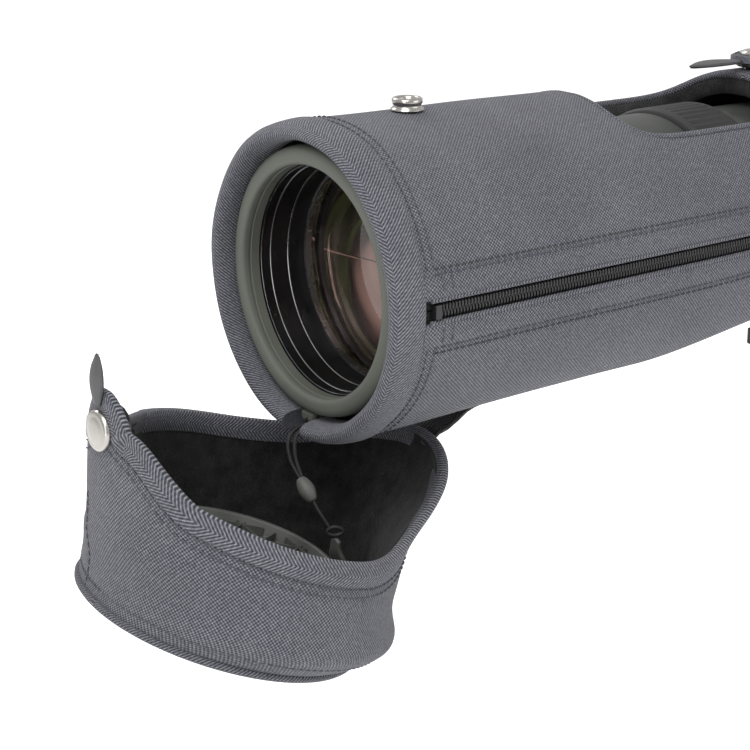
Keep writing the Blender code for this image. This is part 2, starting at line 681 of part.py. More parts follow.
def build_strap():
    """The webbing strap that ties the open cover to the sleeve's belly."""
    points = [(56.4 * MM, -75.0 * MM), (57.2 * MM, -72.2 * MM), (59.2 * MM, -70.6 * MM),
              (63.0 * MM, -69.6 * MM), (68 * MM, -67.0 * MM), (73 * MM, -64.0 * MM),
              (81 * MM, -61.9 * MM)]
    rows = [[at(s, y, h) for y in (-7 * MM, 15 * MM)] for s, h in points]
    cloth("hinge_strap", rows, 1.3 * MM, "webbing", inside=at(75 * MM, 0, 0))


# ---- the lens cap's cord ------------------------------------------------------------------
CORD_ROUTE_UPPER = [(4.6, 6.4, -57.9), (1.4, 7.3, -58.9), (-2.2, 7.6, -60.4), (-4.6, 7.3, -63.0),
                    (-5.6, 6.6, -66.8), (-5.4, 5.2, -71.2), (-4.6, 2.8, -75.2), (-4.1, 1.3, -77.2)]
BEAD = ((-4.0, 0.7, -77.8), (-3.0, -6.2, -85.0))
CORD_ROUTE_LOWER = [(-2.9, -6.6, -85.6), (-2.0, -8.2, -88.6), (-0.4, -10.0, -92.4),
                    (1.2, -11.6, -96.0)]


def route_points(route):
    return [at(s * MM, y * MM, h * MM) for s, y, h in route]


def build_tether():
    """The cord from the hood ring's lug through its bead to the lens cap."""
    cord_tube("tether_upper", route_points(CORD_ROUTE_UPPER), CORD_R, "cord")
    start, end = route_points(BEAD)
    along = end - start
    length = along.length
    profile = [(0, 0), (0, 1.2 * MM), (length * 0.2, 2.6 * MM), (length * 0.5, 3.3 * MM),
               (length * 0.8, 2.6 * MM), (length, 1.2 * MM), (length, 0)]
    lathe("tether_bead", profile, "plastic", origin=start, direction=along, segments=16)
    cord_tube("tether_lower", route_points(CORD_ROUTE_LOWER), CORD_R, "cord")


# ---- the telescope ------------------------------------------------------------------------
def tube(name, s_front, s_rear, inner, outer, look, segments=28, edge=0.8 * MM, **placing):
    """A turned tube with eased outer edges."""
    profile = [(s_front, inner), (s_front, outer - edge), (s_front + edge, outer),
               (s_rear - edge, outer), (s_rear, outer - edge), (s_rear, inner)]
    return lathe(name, profile, look, segments=segments, **placing)


def build_objective():
    """Hood ring, stepped lens cell, lens and its retaining ring."""
    ring = [(1.2 * MM, BORE_R), (0, BORE_R + 1.4 * MM), (0, HOOD_R - 3 * MM),
            (0.9 * MM, HOOD_R - 1 * MM), (3 * MM, HOOD_R), (16 * MM, HOOD_R), (16 * MM, BORE_R + 3 * MM),
            (8 * MM, BORE_R + 3 * MM), (8 * MM, BORE_R)]
    lathe("hood_ring", ring, "rubber", segments=40)
    body = HOOD_R + 0.4 * MM
    lathe("hood_tube", [(16 * MM + GAP, 48.2 * MM), (16 * MM + GAP, body), (70 * MM, body),
                        (70 * MM, 48.2 * MM)], "armour")
    cell = [(8 * MM + GAP, 47.4 * MM), (8 * MM + GAP, 44.2 * MM), (13 * MM, 44.2 * MM),
            (13 * MM, 43.7 * MM), (21 * MM, 43.7 * MM), (21 * MM, 43.2 * MM), (27 * MM, 43.2 * MM),
            (27 * MM, 42.9 * MM), (40 * MM, 42.9 * MM), (40 * MM, 47.4 * MM)]
    lathe("lens_cell", cell, "black_metal", segments=28)
    lens = [(28.2 * MM, 0), (28.6 * MM, 14 * MM), (29.8 * MM, 28 * MM), (31.8 * MM, 41 * MM),
            (31.8 * MM, LENS_R), (36 * MM, LENS_R), (37 * MM, 28 * MM), (37.6 * MM, 0)]
    lathe("objective_lens", lens, "glass", segments=28)
    lathe("lens_retaining_ring", [(28.2 * MM, 41 * MM), (28.2 * MM, 42.6 * MM),
                                  (31.4 * MM, 42.6 * MM), (31.4 * MM, 41.4 * MM)],
          "black_metal", segments=28)
    lug = block("cord_lug", (2.2 * MM, 1 * MM, -56.9 * MM), (8.2 * MM, 9 * MM, -52.5 * MM),
                "rubber", bevel=1.2 * MM)
    eye = lathe("lug_eye_cutter", [(-8 * MM, 0), (-8 * MM, 1.1 * MM), (8 * MM, 1.1 * MM),
                                   (8 * MM, 0)], "rubber", origin=at(5.2 * MM, 5 * MM, -55.0 * MM),
                direction=(0, 1, 0), segments=12)
    cut(lug, eye)


def build_telescope_body():
    """Barrel, focus ring and its carriage, prism housing and the tripod foot."""
    barrel = [(70 * MM + GAP, 47 * MM), (70 * MM + GAP, 52 * MM), (86 * MM, 51 * MM),
              (112 * MM, BARREL_R), (178 * MM, BARREL_R), (178 * MM, 41 * MM), (90 * MM, 41 * MM)]
    lathe("main_barrel", barrel, "armour", segments=28)
    tube("focus_track", 178 * MM + GAP, 214 * MM, 38.5 * MM, 41.2 * MM, "black_metal")
    focus = [(180 * MM, 42 * MM), (180 * MM, 45.8 * MM), (181.5 * MM, 47 * MM),
             (206 * MM, 47 * MM), (207.5 * MM, 45.8 * MM), (207.5 * MM, 42 * MM)]
    lathe("focus_ring", focus, "rubber", pivot=at(193 * MM, 0, 0))
    carriage = [(186 * MM, 0), (186 * MM, 34 * MM), (184 * MM, 34 * MM), (184 * MM, 37.8 * MM),
                (196 * MM, 37.8 * MM), (196 * MM, 34 * MM), (191 * MM, 34 * MM), (191 * MM, 0)]
    lathe("focusing_lens", carriage, "glass", pivot=at(190 * MM, 0, 0))
    housing = [(214 * MM + GAP, 36 * MM), (214 * MM + GAP, 41 * MM), (218 * MM, 43 * MM),
               (300 * MM, 42.5 * MM), (332 * MM, 36 * MM), (332 * MM, 29 * MM),
               (326 * MM, 29 * MM), (318 * MM, 36 * MM)]
    lathe("prism_housing", housing, "armour")
    block("prism_block", (240 * MM, -22 * MM, -22 * MM), (300 * MM, 22 * MM, 22 * MM), "glass",
          bevel=5 * MM)
    block("foot_neck", (268 * MM, -11 * MM, -67 * MM + GAP), (302 * MM, 11 * MM, -44.6 * MM),
          "armour", bevel=2 * MM)
    block("tripod_foot", (262 * MM, -16 * MM, -75 * MM), (308 * MM, 16 * MM, -67 * MM),
          "black_metal", bevel=0.8 * MM)


def build_eyepiece():
    """Eyepiece barrel, zoom ring, sliding eyecup and eye lens."""
    tube("eyepiece_barrel", 332 * MM + GAP, 386 * MM, 17 * MM, 26 * MM, "black_metal", 24)
    tube("zoom_ring", 345 * MM, 372 * MM, 26.6 * MM, 31 * MM, "rubber", 24, 1.5 * MM,
         pivot=at(358 * MM, 0, 0))
    cup = [(375 * MM, 26.5 * MM), (375 * MM, 29 * MM), (398 * MM, 29.5 * MM),
           (401 * MM, 27.5 * MM), (401 * MM, 21 * MM), (390 * MM, 21 * MM), (390 * MM, 26.5 * MM)]
    lathe("eyecup", cup, "rubber", segments=24, pivot=at(388 * MM, 0, 0))
    lens = [(380 * MM, 0), (380 * MM, 16.6 * MM), (385 * MM, 16.6 * MM), (386.5 * MM, 9 * MM),
            (387 * MM, 0)]
    lathe("eye_lens", lens, "glass", segments=16)


# ---- the rear hood ------------------------------------------------------------------------
REAR_ANGLES = [15 * i for i in range(24)]
REAR_SHARES = (0, 0.33, 0.66, 0.85, 0.96)


def on_rear_hood(angle, s, proud=0.0):
    """The rear hood's outside: it follows the sleeve's rear end, then rounds off."""
    turn = math.radians(angle)
    reach = HOOD_GAP + FABRIC + LINING + GAP + proud
    section = min(s, SLEEVE_END)
    round_off = 7 * MM * max(0.0, (s - (HOOD_END - 16 * MM)) / (16 * MM)) ** 2
    height = top_height(section) if math.cos(turn) > 0 else belly_depth(section)
    return at(s, -(half_width(section) + reach - round_off) * math.sin(turn),
              (height + reach - round_off) * math.cos(turn))


def rear_mouth_s(angle):
    return 319.5 * MM - 27.5 * MM * math.cos(math.radians(angle))


def rear_hood_rows(shares, proud, front_in, end):
    return [[on_rear_hood(angle, blend(rear_mouth_s(angle) + front_in, end, share), proud)
             for angle in REAR_ANGLES] for share in shares]


def rear_panel_rows(shares, s, proud):
    rows = []
    for share in shares:
        rows.append([at(s, 0, 0).lerp(on_rear_hood(angle, s, proud), share)
                     for angle in REAR_ANGLES])
    return rows


def build_rear_hood():
    """The hood over the eyepiece, closed, with its tongue, snap and pull tab."""
    hinge_point = at(REAR_HINGE[0], 0, REAR_HINGE[1])
    hinge = add_pivot("rear_hood_hinge", hinge_point)
    placing = {"pivot": hinge_point, "parent": hinge}
    inside = at(380 * MM, 0, 0)
    wall = rear_hood_rows((*REAR_SHARES, 1.0), 0, 7 * MM + GAP, HOOD_END - 1 * MM)
    cloth("rear_hood_wall", wall, FABRIC, "fabric", closed=True, inside=inside, **placing)
    panel = rear_panel_rows((0.98, 0.7, 0.35), HOOD_END + FABRIC, 0)
    cloth("rear_hood_end", panel, FABRIC, "fabric", closed=True,
          pole=at(HOOD_END + FABRIC + 1.5 * MM, 0, 0), inside=inside, **placing)
    sunk = -(FABRIC + 2 * GAP)
    lining = rear_hood_rows(REAR_SHARES[:-1], sunk, 7 * MM + GAP, HOOD_END - 1 * MM)
    lining += rear_panel_rows((0.8, 0.4), HOOD_END - 3 * MM, sunk)
    cloth("rear_hood_lining", lining, LINING, "lining", closed=True,
          pole=at(HOOD_END - 2.5 * MM, 0, 0), inside=inside, **placing)
    hem = []
    for back in (0.0, 3.5 * MM, 7 * MM):
        hem.append([on_rear_hood(angle, rear_mouth_s(angle) + back, 0.2 * MM)
                    for angle in REAR_ANGLES])
    cloth("rear_hood_hem", hem, 3.2 * MM, "fabric", closed=True, inside=inside, **placing)
    build_rear_tongue(placing, hinge)


def build_rear_tongue(placing, hinge):
    """The rear hood's tongue reaches forward to the stud on the bridge."""
    tip_s, root_s = 229 * MM, 291 * MM
    low = BRIDGE_TOP + 3.6 * MM
    rows = []
    for share in (0.015, 0.06, 0.14, 0.28, 0.5, 0.75, 1.0):
        s = blend(tip_s, root_s, share)
        half = blend(13 * MM, 21 * MM, share) * math.sqrt(min(1, 1 - max(0, 0.28 - share) ** 2 / 0.08))
        height = low + 2.8 * MM + 0.9 * MM * smooth_step((share - 0.6) / 0.4)
        rows.append([at(s, across * half, height - 0.0022 * share * across * across)
                     for across in between(-1, 1, 6)])
    cloth("rear_tongue", rows, 2.6 * MM, "fabric", inside=at(260 * MM, 0, 0), **placing)
    snap = at(REAR_STUD_S, 0, low + 2.8 * MM)
    dome = [(GAP, 0), (GAP, 7.2 * MM), (1.0 * MM, 7.2 * MM), (1.9 * MM, 5.8 * MM),
            (2.6 * MM, 2.8 * MM), (2.7 * MM, 0)]
    lathe("rear_snap_cap", dome, "nickel", origin=snap, direction=(0, 0, 1), segments=18,
          **placing)
    socket = [(-2.9 * MM, 7.6 * MM), (-2.9 * MM, 8.8 * MM), (-4.4 * MM, 8.8 * MM),
              (-4.8 * MM, 8.2 * MM), (-4.4 * MM, 7.6 * MM)]
    lathe("rear_snap_socket", socket, "black_metal", origin=snap, direction=(0, 0, 1),
          segments=18, **placing)
    tab_root = at(tip_s - 0.6 * MM, 0, low + 1.6 * MM)
    pull_tab("rear_pull_tab", tab_root, Vector((-1, 0, 0)), Vector((0, 0, 1)), 29 * MM, 12 * MM,
             pivot=tab_root, parent=hinge)


def main():
    clear_scene()
    build_sleeve()
    build_zip()
    build_front_cover()
    build_strap()
    build_tether()
    build_objective()
    build_telescope_body()
    build_eyepiece()
    build_rear_hood()


main()
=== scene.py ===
"""Looks for the stay-on telescope case: woven fabric, stitching, fleece, zip, snaps and glass.

Design positions s, y, h are metres from the centre of the hood ring's front edge, as in the part's
own source: s rearwards, y to the right, h up.  Fabric is mapped in metres, so the weave keeps its
real size everywhere.
"""
import math

import bmesh
import bpy
from mathutils import Matrix, Vector, noise


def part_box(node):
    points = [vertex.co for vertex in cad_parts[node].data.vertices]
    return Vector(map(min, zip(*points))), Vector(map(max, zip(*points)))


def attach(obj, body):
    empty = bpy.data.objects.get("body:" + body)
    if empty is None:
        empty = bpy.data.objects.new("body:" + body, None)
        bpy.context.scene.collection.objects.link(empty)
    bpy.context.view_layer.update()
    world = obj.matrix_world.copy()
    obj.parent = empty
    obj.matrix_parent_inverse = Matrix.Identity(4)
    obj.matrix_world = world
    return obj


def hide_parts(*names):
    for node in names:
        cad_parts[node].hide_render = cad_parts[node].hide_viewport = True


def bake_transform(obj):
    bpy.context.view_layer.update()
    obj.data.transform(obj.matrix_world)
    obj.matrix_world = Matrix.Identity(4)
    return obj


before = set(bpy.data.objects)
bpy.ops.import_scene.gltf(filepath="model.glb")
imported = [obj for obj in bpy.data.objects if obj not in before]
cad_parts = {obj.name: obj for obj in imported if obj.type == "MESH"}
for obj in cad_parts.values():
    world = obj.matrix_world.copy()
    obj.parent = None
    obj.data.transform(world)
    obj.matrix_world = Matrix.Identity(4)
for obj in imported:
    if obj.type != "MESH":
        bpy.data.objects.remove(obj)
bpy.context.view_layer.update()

MM = 0.001
RING_LOW, RING_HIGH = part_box("hood_ring")
ORIGIN = Vector((RING_LOW[0], 0.0, (RING_LOW[2] + RING_HIGH[2]) / 2))

# ---- driving dimensions, the same as the part's ----------------------------------------------
SLEEVE_R = 61.4 * MM
SIDE_TAPER = 0.02
TOP_TAPER = 0.015
SLEEVE_FRONT = 8 * MM
TAPER_START = 290 * MM
SLEEVE_END = 345 * MM
REAR_HALF_WIDTH = 47 * MM
REAR_DEPTH = 46 * MM
BRIDGE_TOP = 58 * MM
BELLY = 50 * MM
FABRIC = 2.4 * MM
LINING = 0.9 * MM
GAP = 0.3 * MM
OPENING_S = (130 * MM, 228 * MM)
OPENING_HALF_ANGLE = 40
ZIP_START = 16 * MM
ZIP_END = 292 * MM
STUD_S = 47 * MM
REAR_STUD_S = 240 * MM
HINGE = (60 * MM, -72 * MM)
OPEN_ANGLE = 72.5
TONGUE_HINGE = (10 * MM, 69.5 * MM)
COVER_BASE_S = -19.5 * MM
COVER_BASE_R = 56.5 * MM
COVER_BASE_Y = 2 * MM
COVER_BASE_H = 8 * MM
COVER_SLUMP = 12 * MM
COVER_TUCK = 6 * MM
CAP_R = 45 * MM
CAP_DEPTH = 8.4 * MM
CAP_CENTRE = (-5.2 * MM, 3 * MM, 11 * MM)
CAP_DIRECTION = (1, -0.142, 0.09)
CAP_LUG = ((6.6 * MM, -11 * MM, -31 * MM), (14.2 * MM, -12.5 * MM, -26.5 * MM))
SLIT_ANGLE = 185
COVER_SKEW = math.tan(math.radians(7))
COVER_HALF_WIDTH = 65.6 * MM
HEM = 9.5 * MM
CORD_R = 0.75 * MM
STRAP_SIDES = (-7, 15)              # the strap's edges, mm along y
STRAP_THICKNESS = 1.3 * MM
TONGUE_SLOPE = math.atan2(84.5 - 70.9, 61 - 10)     # of the closed tongue's outer face
YARN = 0.75 * MM                    # pitch of the fabric's yarns
STITCH = 3.2 * MM                   # length of a stitch with its gap


def at(s, y, h):
    """A design position in the frame's own coordinates."""
    return ORIGIN + Vector((s, y, h))


def at_mm(place):
    """A design position given as s, y, h in millimetres."""
    return at(*(v * MM for v in place))


def mix(low, high, t):
    return low + (high - low) * t


def ease(t):
    t = min(1.0, max(0.0, t))
    return t * t * (3 - 2 * t)


def bump_at(x, width):
    """A soft ridge of height 1 at x = 0."""
    return math.exp(-(x / width) ** 2)


def between(low, high, count):
    return [low + (high - low) * i / count for i in range(count + 1)]


def hinge_matrix(s, h, degrees):
    """Turns things about a hinge that runs across the case."""
    pivot = at(s, 0, h)
    turn = Matrix.Rotation(math.radians(degrees), 4, "Y")
    return Matrix.Translation(pivot) @ turn @ Matrix.Translation(-pivot)


OPENED = hinge_matrix(*HINGE, -OPEN_ANGLE)          # from the closed cover to the open one


# ---- camera and light ------------------------------------------------------------------------
def add_camera():
    data = bpy.data.cameras.new("camera")
    data.lens = 96
    data.sensor_width = 36
    camera = bpy.data.objects.new("camera", data)
    bpy.context.scene.collection.objects.link(camera)
    azimuth, elevation = math.radians(-37.05), math.radians(17.65)
    back = Vector((math.sin(azimuth) * math.cos(elevation),
                   -math.cos(azimuth) * math.cos(elevation), math.sin(elevation)))
    camera.location = (-0.7037, -0.5966, 0.2706)
    camera.rotation_euler = (-back).to_track_quat("-Z", "Y").to_euler()
    bpy.context.scene.camera = camera


def add_area_light(name, place, aim, size, power, colour=(1, 1, 1)):
    data = bpy.data.lights.new(name, "AREA")
    data.shape = "RECTANGLE"
    data.size, data.size_y = size
    data.energy = power
    data.color = colour
    lamp = bpy.data.objects.new(name, data)
    bpy.context.scene.collection.objects.link(lamp)
    lamp.location = place
    lamp.rotation_euler = (Vector(aim) - Vector(place)).to_track_quat("-Z", "Y").to_euler()


def add_studio():
    world = bpy.data.worlds.new("studio")
    world.use_nodes = True
    world.node_tree.nodes["Background"].inputs["Color"].default_value = (1, 1, 1, 1)
    world.node_tree.nodes["Background"].inputs["Strength"].default_value = 0.75
    bpy.context.scene.world = world
    bpy.context.scene.view_settings.view_transform = "Standard"
    aim = (-0.22, 0, 0.06)
    add_area_light("key_light", (-0.75, -0.35, 0.95), aim, (0.7, 0.7), 8)
    add_area_light("front_light", (-1.1, -0.5, 0.25), aim, (0.35, 0.9), 2.2)
    add_area_light("fill_light", (0.5, -1.2, 0.5), aim, (0.9, 0.7), 4)
    add_area_light("rim_light", (-0.2, 1.0, 0.8), aim, (1.0, 0.4), 5)
    floor = grid_object("floor", [[Vector((x, y, -0.16)) for x in (-4, 4)] for y in (-4, 4)],
                        floor_material())


# ---- materials -------------------------------------------------------------------------------
class Shader:
    """A short way to write a node tree."""

    def __init__(self, name, colour, roughness, metallic=0.0):
        self.material = bpy.data.materials.new(name)
        self.material.use_nodes = True
        self.tree = self.material.node_tree
        self.surface = self.tree.nodes["Principled BSDF"]
        self.set("Base Color", (*colour, 1))
        self.set("Roughness", roughness)
        self.set("Metallic", metallic)
        self.material.diffuse_color = (*colour, 1)

    def set(self, socket, value):
        self.surface.inputs[socket].default_value = value
        return self

    def node(self, kind, inputs=None, **settings):
        made = self.tree.nodes.new("ShaderNode" + kind)
        for key, value in settings.items():
            setattr(made, key, value)
        for key, value in (inputs or {}).items():
            if hasattr(value, "outputs"):
                value = value.outputs[0]
            if isinstance(value, bpy.types.NodeSocket):
                self.tree.links.new(value, made.inputs[key])
            else:
                made.inputs[key].default_value = value
        return made

    def math(self, operation, a, b=0.0):
        return self.node("Math", {0: a, 1: b}, operation=operation).outputs[0]

    def times(self, a, b):
        return self.math("MULTIPLY", a, b)

    def plus(self, a, b):
        return self.math("ADD", a, b)

    def sine(self, value, rate):
        return self.math("SINE", self.times(value, rate))

    def cloth_place(self):
        """The surface's own coordinates: metres on cloth, turn and radius on a lens."""
        place = self.node("SeparateXYZ", {"Vector": self.node("UVMap", uv_map="weave")})
        return place.outputs["X"], place.outputs["Y"]

    def noise(self, scale, detail=3.0):
        inputs = {"Scale": scale, "Detail": detail}
        inputs["Vector"] = self.node("TexCoord").outputs["Object"]
        return self.node("TexNoise", inputs).outputs["Fac"]

    def map_range(self, value, low, high, to_low, to_high):
        return self.node("MapRange", {"Value": value, "From Min": low, "From Max": high,
                                      "To Min": to_low, "To Max": to_high}).outputs["Result"]

    def ramp(self, factor, stops):
        made = self.node("ValToRGB", {"Fac": factor})
        elements = made.color_ramp.elements
        while len(elements) < len(stops):
            elements.new(0.5)
        for element, (place, colour) in zip(elements, stops):
            element.position = place
            element.color = (*colour, 1)
        return made.outputs["Color"]

    def colour(self, factor, stops):
        self.tree.links.new(self.ramp(factor, stops), self.surface.inputs["Base Color"])
        return self

    def rough(self, factor, low, high):
        value = self.map_range(factor, 0.3, 0.7, low, high)
        self.tree.links.new(value, self.surface.inputs["Roughness"])
        return self

    def bump(self, height, strength, distance):
        made = self.node("Bump", {"Height": height, "Strength": strength, "Distance": distance})
        self.tree.links.new(made.outputs["Normal"], self.surface.inputs["Normal"])
        return self


def weave_waves(shader, chevron=None):
    """Two crossing sine waves over the fabric's own metres: warp and weft."""
    u, v = shader.cloth_place()
    wobble = shader.noise(60, 2)
    u = shader.plus(u, shader.times(wobble, 0.9 * MM))
    if chevron:
        lean = shader.math("ABSOLUTE", shader.math("SUBTRACT", v, chevron))
        u = shader.plus(u, lean)
    across = shader.sine(u, math.pi / YARN)
    along = shader.sine(v, math.pi / YARN)
    return across, along


def fabric_material(name="case_fabric", chevron=None, tone=1.0):
    """Bluish grey yarns in a plain weave; a chevron for the bias-cut hems."""
    shader = Shader(name, (0.155, 0.158, 0.18), 0.85)
    across, along = weave_waves(shader, chevron)
    floats = shader.times(across, along)
    if chevron:
        ribs = shader.times(across, 0.75)
        floats = shader.plus(ribs, shader.times(floats, 0.35))
    heather = shader.noise(900, 2)
    patches = shader.noise(26, 3)
    value = shader.plus(shader.times(floats, 0.34), shader.times(heather, 0.5))
    value = shader.plus(value, shader.times(patches, 0.16))
    dark = tuple(tone * c for c in (0.022, 0.023, 0.033))
    middle = tuple(tone * c for c in (0.082, 0.083, 0.099))
    light = tuple(tone * c for c in (0.24, 0.24, 0.262))
    shader.colour(value, [(0.04, dark), (0.36, middle), (0.74, light)])
    shader.bump(shader.plus(floats, shader.times(heather, 0.6)), 0.7, 0.32 * MM)
    shader.set("Sheen Weight", 0.08).set("Sheen Roughness", 0.5)
    shader.set("Specular IOR Level", 0.3)
    return shader.material


def fleece_material():
    shader = Shader("black_fleece", (0.010, 0.010, 0.0105), 1.0)
    fine = shader.noise(1500, 4)
    tufts = shader.noise(160, 4)
    value = shader.times(fine, tufts)
    shader.colour(value, [(0.12, (0.003, 0.003, 0.003)), (0.42, (0.022, 0.022, 0.0225))])
    shader.bump(value, 0.9, 1.2 * MM)
    shader.set("Sheen Weight", 0.10).set("Sheen Roughness", 0.6)
    shader.set("Specular IOR Level", 0.15)
    return shader.material


def webbing_material(name, pitch):
    shader = Shader(name, (0.012, 0.012, 0.013), 0.8)
    u, v = shader.cloth_place()
    lean = shader.math("ABSOLUTE", shader.sine(u, math.pi / (3 * pitch)))
    ribs = shader.sine(shader.plus(v, shader.times(lean, pitch)), 2 * math.pi / pitch)
    fuzz = shader.noise(1200, 2)
    value = shader.plus(shader.times(ribs, 0.3), fuzz)
    shader.colour(value, [(0.2, (0.005, 0.005, 0.005)), (0.85, (0.035, 0.035, 0.037))])
    return shader.bump(ribs, 0.7, 0.3 * MM).material


def thread_material(name, colour):
    shader = Shader(name, colour, 0.7)
    twist = shader.noise(2500, 2)
    light = tuple(c * 1.8 for c in colour)
    dark = tuple(c * 0.5 for c in colour)
    return shader.colour(twist, [(0.35, dark), (0.65, light)]).bump(twist, 0.4, 0.1 * MM).material


def rubber_material(name, colour, grain=2200, roughness=0.62):
    """Moulded rubber with a fine matt grain and slightly rubbed patches."""
    shader = Shader(name, colour, roughness)
    fine = shader.noise(grain, 3)
    worn = shader.noise(35, 4)
    lighter = tuple(c * 1.12 for c in colour)
    darker = tuple(c * 0.9 for c in colour)
    shader.colour(worn, [(0.3, darker), (0.7, lighter)])
    shader.rough(worn, roughness - 0.08, roughness + 0.08)
    return shader.bump(fine, 0.25, 0.12 * MM).material


def metal_material(name, colour, roughness, grain=900, metallic=1.0):
    """Plated or anodised metal with faint wear in its gloss."""
    shader = Shader(name, colour, roughness, metallic)
    wear = shader.noise(90, 5)
    darker = tuple(c * 0.82 for c in colour)
    shader.colour(wear, [(0.3, darker), (0.7, colour)])
    shader.rough(wear, roughness * 0.75, roughness * 1.35)
    return shader.bump(shader.noise(grain, 2), 0.08, 0.05 * MM).material


def leather_material():
    shader = Shader("tab_leather", (0.045, 0.045, 0.048), 0.5)
    cells = shader.node("TexVoronoi", {"Scale": 1400.0,
                                       "Vector": shader.node("TexCoord").outputs["Object"]},
                        feature="DISTANCE_TO_EDGE").outputs["Distance"]
    tone = shader.noise(200, 3)
    shader.colour(tone, [(0.3, (0.03, 0.03, 0.033)), (0.7, (0.062, 0.061, 0.064))])
    shader.rough(tone, 0.42, 0.6)
    return shader.bump(cells, 0.35, 0.2 * MM).material


def coated_lens_material():
    """Clear glass with a faint warm coating."""
    shader = Shader("coated_lens", (1.0, 0.97, 0.95), 0.0)
    shader.set("Transmission Weight", 1.0).set("IOR", 1.32)
    shader.set("Coat Weight", 0.35).set("Coat Roughness", 0.02)
    shader.set("Coat Tint", (1.0, 0.82, 0.78, 1))
    haze = shader.noise(30, 2)
    return shader.rough(haze, 0.0, 0.015).material


def inner_lens_material():
    """The element behind the front lens: painted reflections in soft bands, brown, rose and green like
    its coatings, with faint painted rings.
    """
    shader = Shader("inner_lens_painted_reflections", (0.10, 0.08, 0.08), 0.16)
    turn, radius = shader.cloth_place()
    # Painted reflections: lobes turning round the lens and faint rings, from dark green to bright rose
    # in the colour.
    drift = shader.plus(turn, shader.times(radius, 2.2))
    reflection_lobes = shader.sine(drift, 2 * math.pi)
    rings = shader.sine(radius, 62.0)
    value = shader.plus(shader.times(reflection_lobes, 0.40), 0.46)
    value = shader.plus(value, shader.times(rings, 0.045))
    shader.colour(value, [(0.04, (0.012, 0.02, 0.008)), (0.22, (0.05, 0.08, 0.03)),
                          (0.36, (0.012, 0.012, 0.012)), (0.52, (0.07, 0.055, 0.05)),
                          (0.70, (0.30, 0.235, 0.21)), (0.88, (0.42, 0.35, 0.33))])
    shader.set("Coat Weight", 0.6).set("Coat Roughness", 0.03)
    return shader.material


def cap_material():
    shader = Shader("cap_plastic", (0.03, 0.032, 0.03), 0.5)
    fine = shader.noise(3000, 2)
    scuffs = shader.noise(70, 5)
    shader.colour(scuffs, [(0.35, (0.05, 0.052, 0.048)), (0.72, (0.1, 0.102, 0.094))])
    shader.rough(scuffs, 0.4, 0.62)
    return shader.bump(fine, 0.2, 0.08 * MM).material


def cord_material():
    shader = Shader("black_cord", (0.008, 0.008, 0.009), 0.55)
    u, v = shader.cloth_place()
    braid = shader.times(shader.sine(u, 9000.0), shader.sine(v, 5200.0))
    shader.colour(braid, [(0.0, (0.004, 0.004, 0.004)), (0.9, (0.03, 0.03, 0.032))])
    return shader.bump(braid, 0.6, 0.15 * MM).material


def floor_material():
    shader = Shader("floor_white", (0.93, 0.93, 0.93), 0.7)
    shader.colour(shader.noise(3, 2), [(0.3, (0.92, 0.92, 0.92)), (0.7, (0.94, 0.94, 0.94))])
    shader.set("Emission Color", (1, 1, 1, 1)).set("Emission Strength", 0.35)
    return shader.material


LOOK = {}


def make_materials():
    LOOK.update(
        fabric=fabric_material(),
        hem=fabric_material("hem_fabric", chevron=HEM / 2),
        front_hem=fabric_material("front_hem_fabric", chevron=13 * MM),
        bead_hem=fabric_material("seam_fabric", chevron=5 * MM, tone=0.85),
        fleece=fleece_material(),
        tape=webbing_material("zip_tape_weave", 0.8 * MM),
        strap=webbing_material("strap_webbing", 1.6 * MM),
        thread=thread_material("grey_thread", (0.045, 0.046, 0.058)),
        dark_thread=thread_material("dark_thread", (0.02, 0.02, 0.022)),
        coil=rubber_material("zip_nylon", (0.010, 0.010, 0.011), 1800, 0.38),
        ring=rubber_material("olive_rubber", (0.082, 0.086, 0.072), 2600, 0.6),
        rubber=rubber_material("grip_rubber", (0.018, 0.018, 0.018), 1500, 0.7),
        armour=rubber_material("green_armour", (0.036, 0.039, 0.035), 1800, 0.55),
        black=metal_material("black_anodised", (0.006, 0.006, 0.0065), 0.32, 1500, 0.3),
        edge=metal_material("polished_edge", (0.32, 0.32, 0.33), 0.25, 1500),
        nickel=metal_material("nickel_plate", (0.46, 0.44, 0.41), 0.24),
        dark_snap=metal_material("black_snap", (0.02, 0.02, 0.021), 0.22, 900, 0.7),
        leather=leather_material(),
        lens=coated_lens_material(),
        inner=inner_lens_material(),
        cap=cap_material(),
        cord=cord_material(),
    )


# ---- mesh tools ------------------------------------------------------------------------------
def finish_object(name, bm, material, weld=True):
    if weld:
        bmesh.ops.remove_doubles(bm, verts=bm.verts, dist=1e-7)
    bmesh.ops.recalc_face_normals(bm, faces=bm.faces)
    mesh = bpy.data.meshes.new(name)
    bm.to_mesh(mesh)
    bm.free()
    mesh.materials.append(material)
    mesh.shade_smooth()
    mesh.set_sharp_from_angle(angle=math.radians(50))
    obj = bpy.data.objects.new(name, mesh)
    bpy.context.scene.collection.objects.link(obj)
    return obj


def add_grid(bm, rows, uvs, closed=False):
    """Quads over rows of points, with the fabric's own coordinates as UVs."""
    layer = bm.loops.layers.uv.get("weave") or bm.loops.layers.uv.new("weave")
    grid = [[bm.verts.new(point) for point in row] for row in rows]
    count = len(rows[0])
    for j in range(len(rows) - 1):
        for i in range(count if closed else count - 1):
            k = (i + 1) % count
            corners = ((j, i), (j, k), (j + 1, k), (j + 1, i))
            try:
                face = bm.faces.new([grid[a][b] for a, b in corners])
            except ValueError:
                continue
            for loop, (a, b) in zip(face.loops, corners):
                column = b if not (closed and k == 0 and b == 0) else count
                loop[layer].uv = uvs(a, column)
    return grid


def grid_object(name, rows, material, uvs=None, closed=False):
    bm = bmesh.new()
    add_grid(bm, rows, uvs or (lambda j, i: (i * MM, j * MM)), closed)
    return finish_object(name, bm, material)


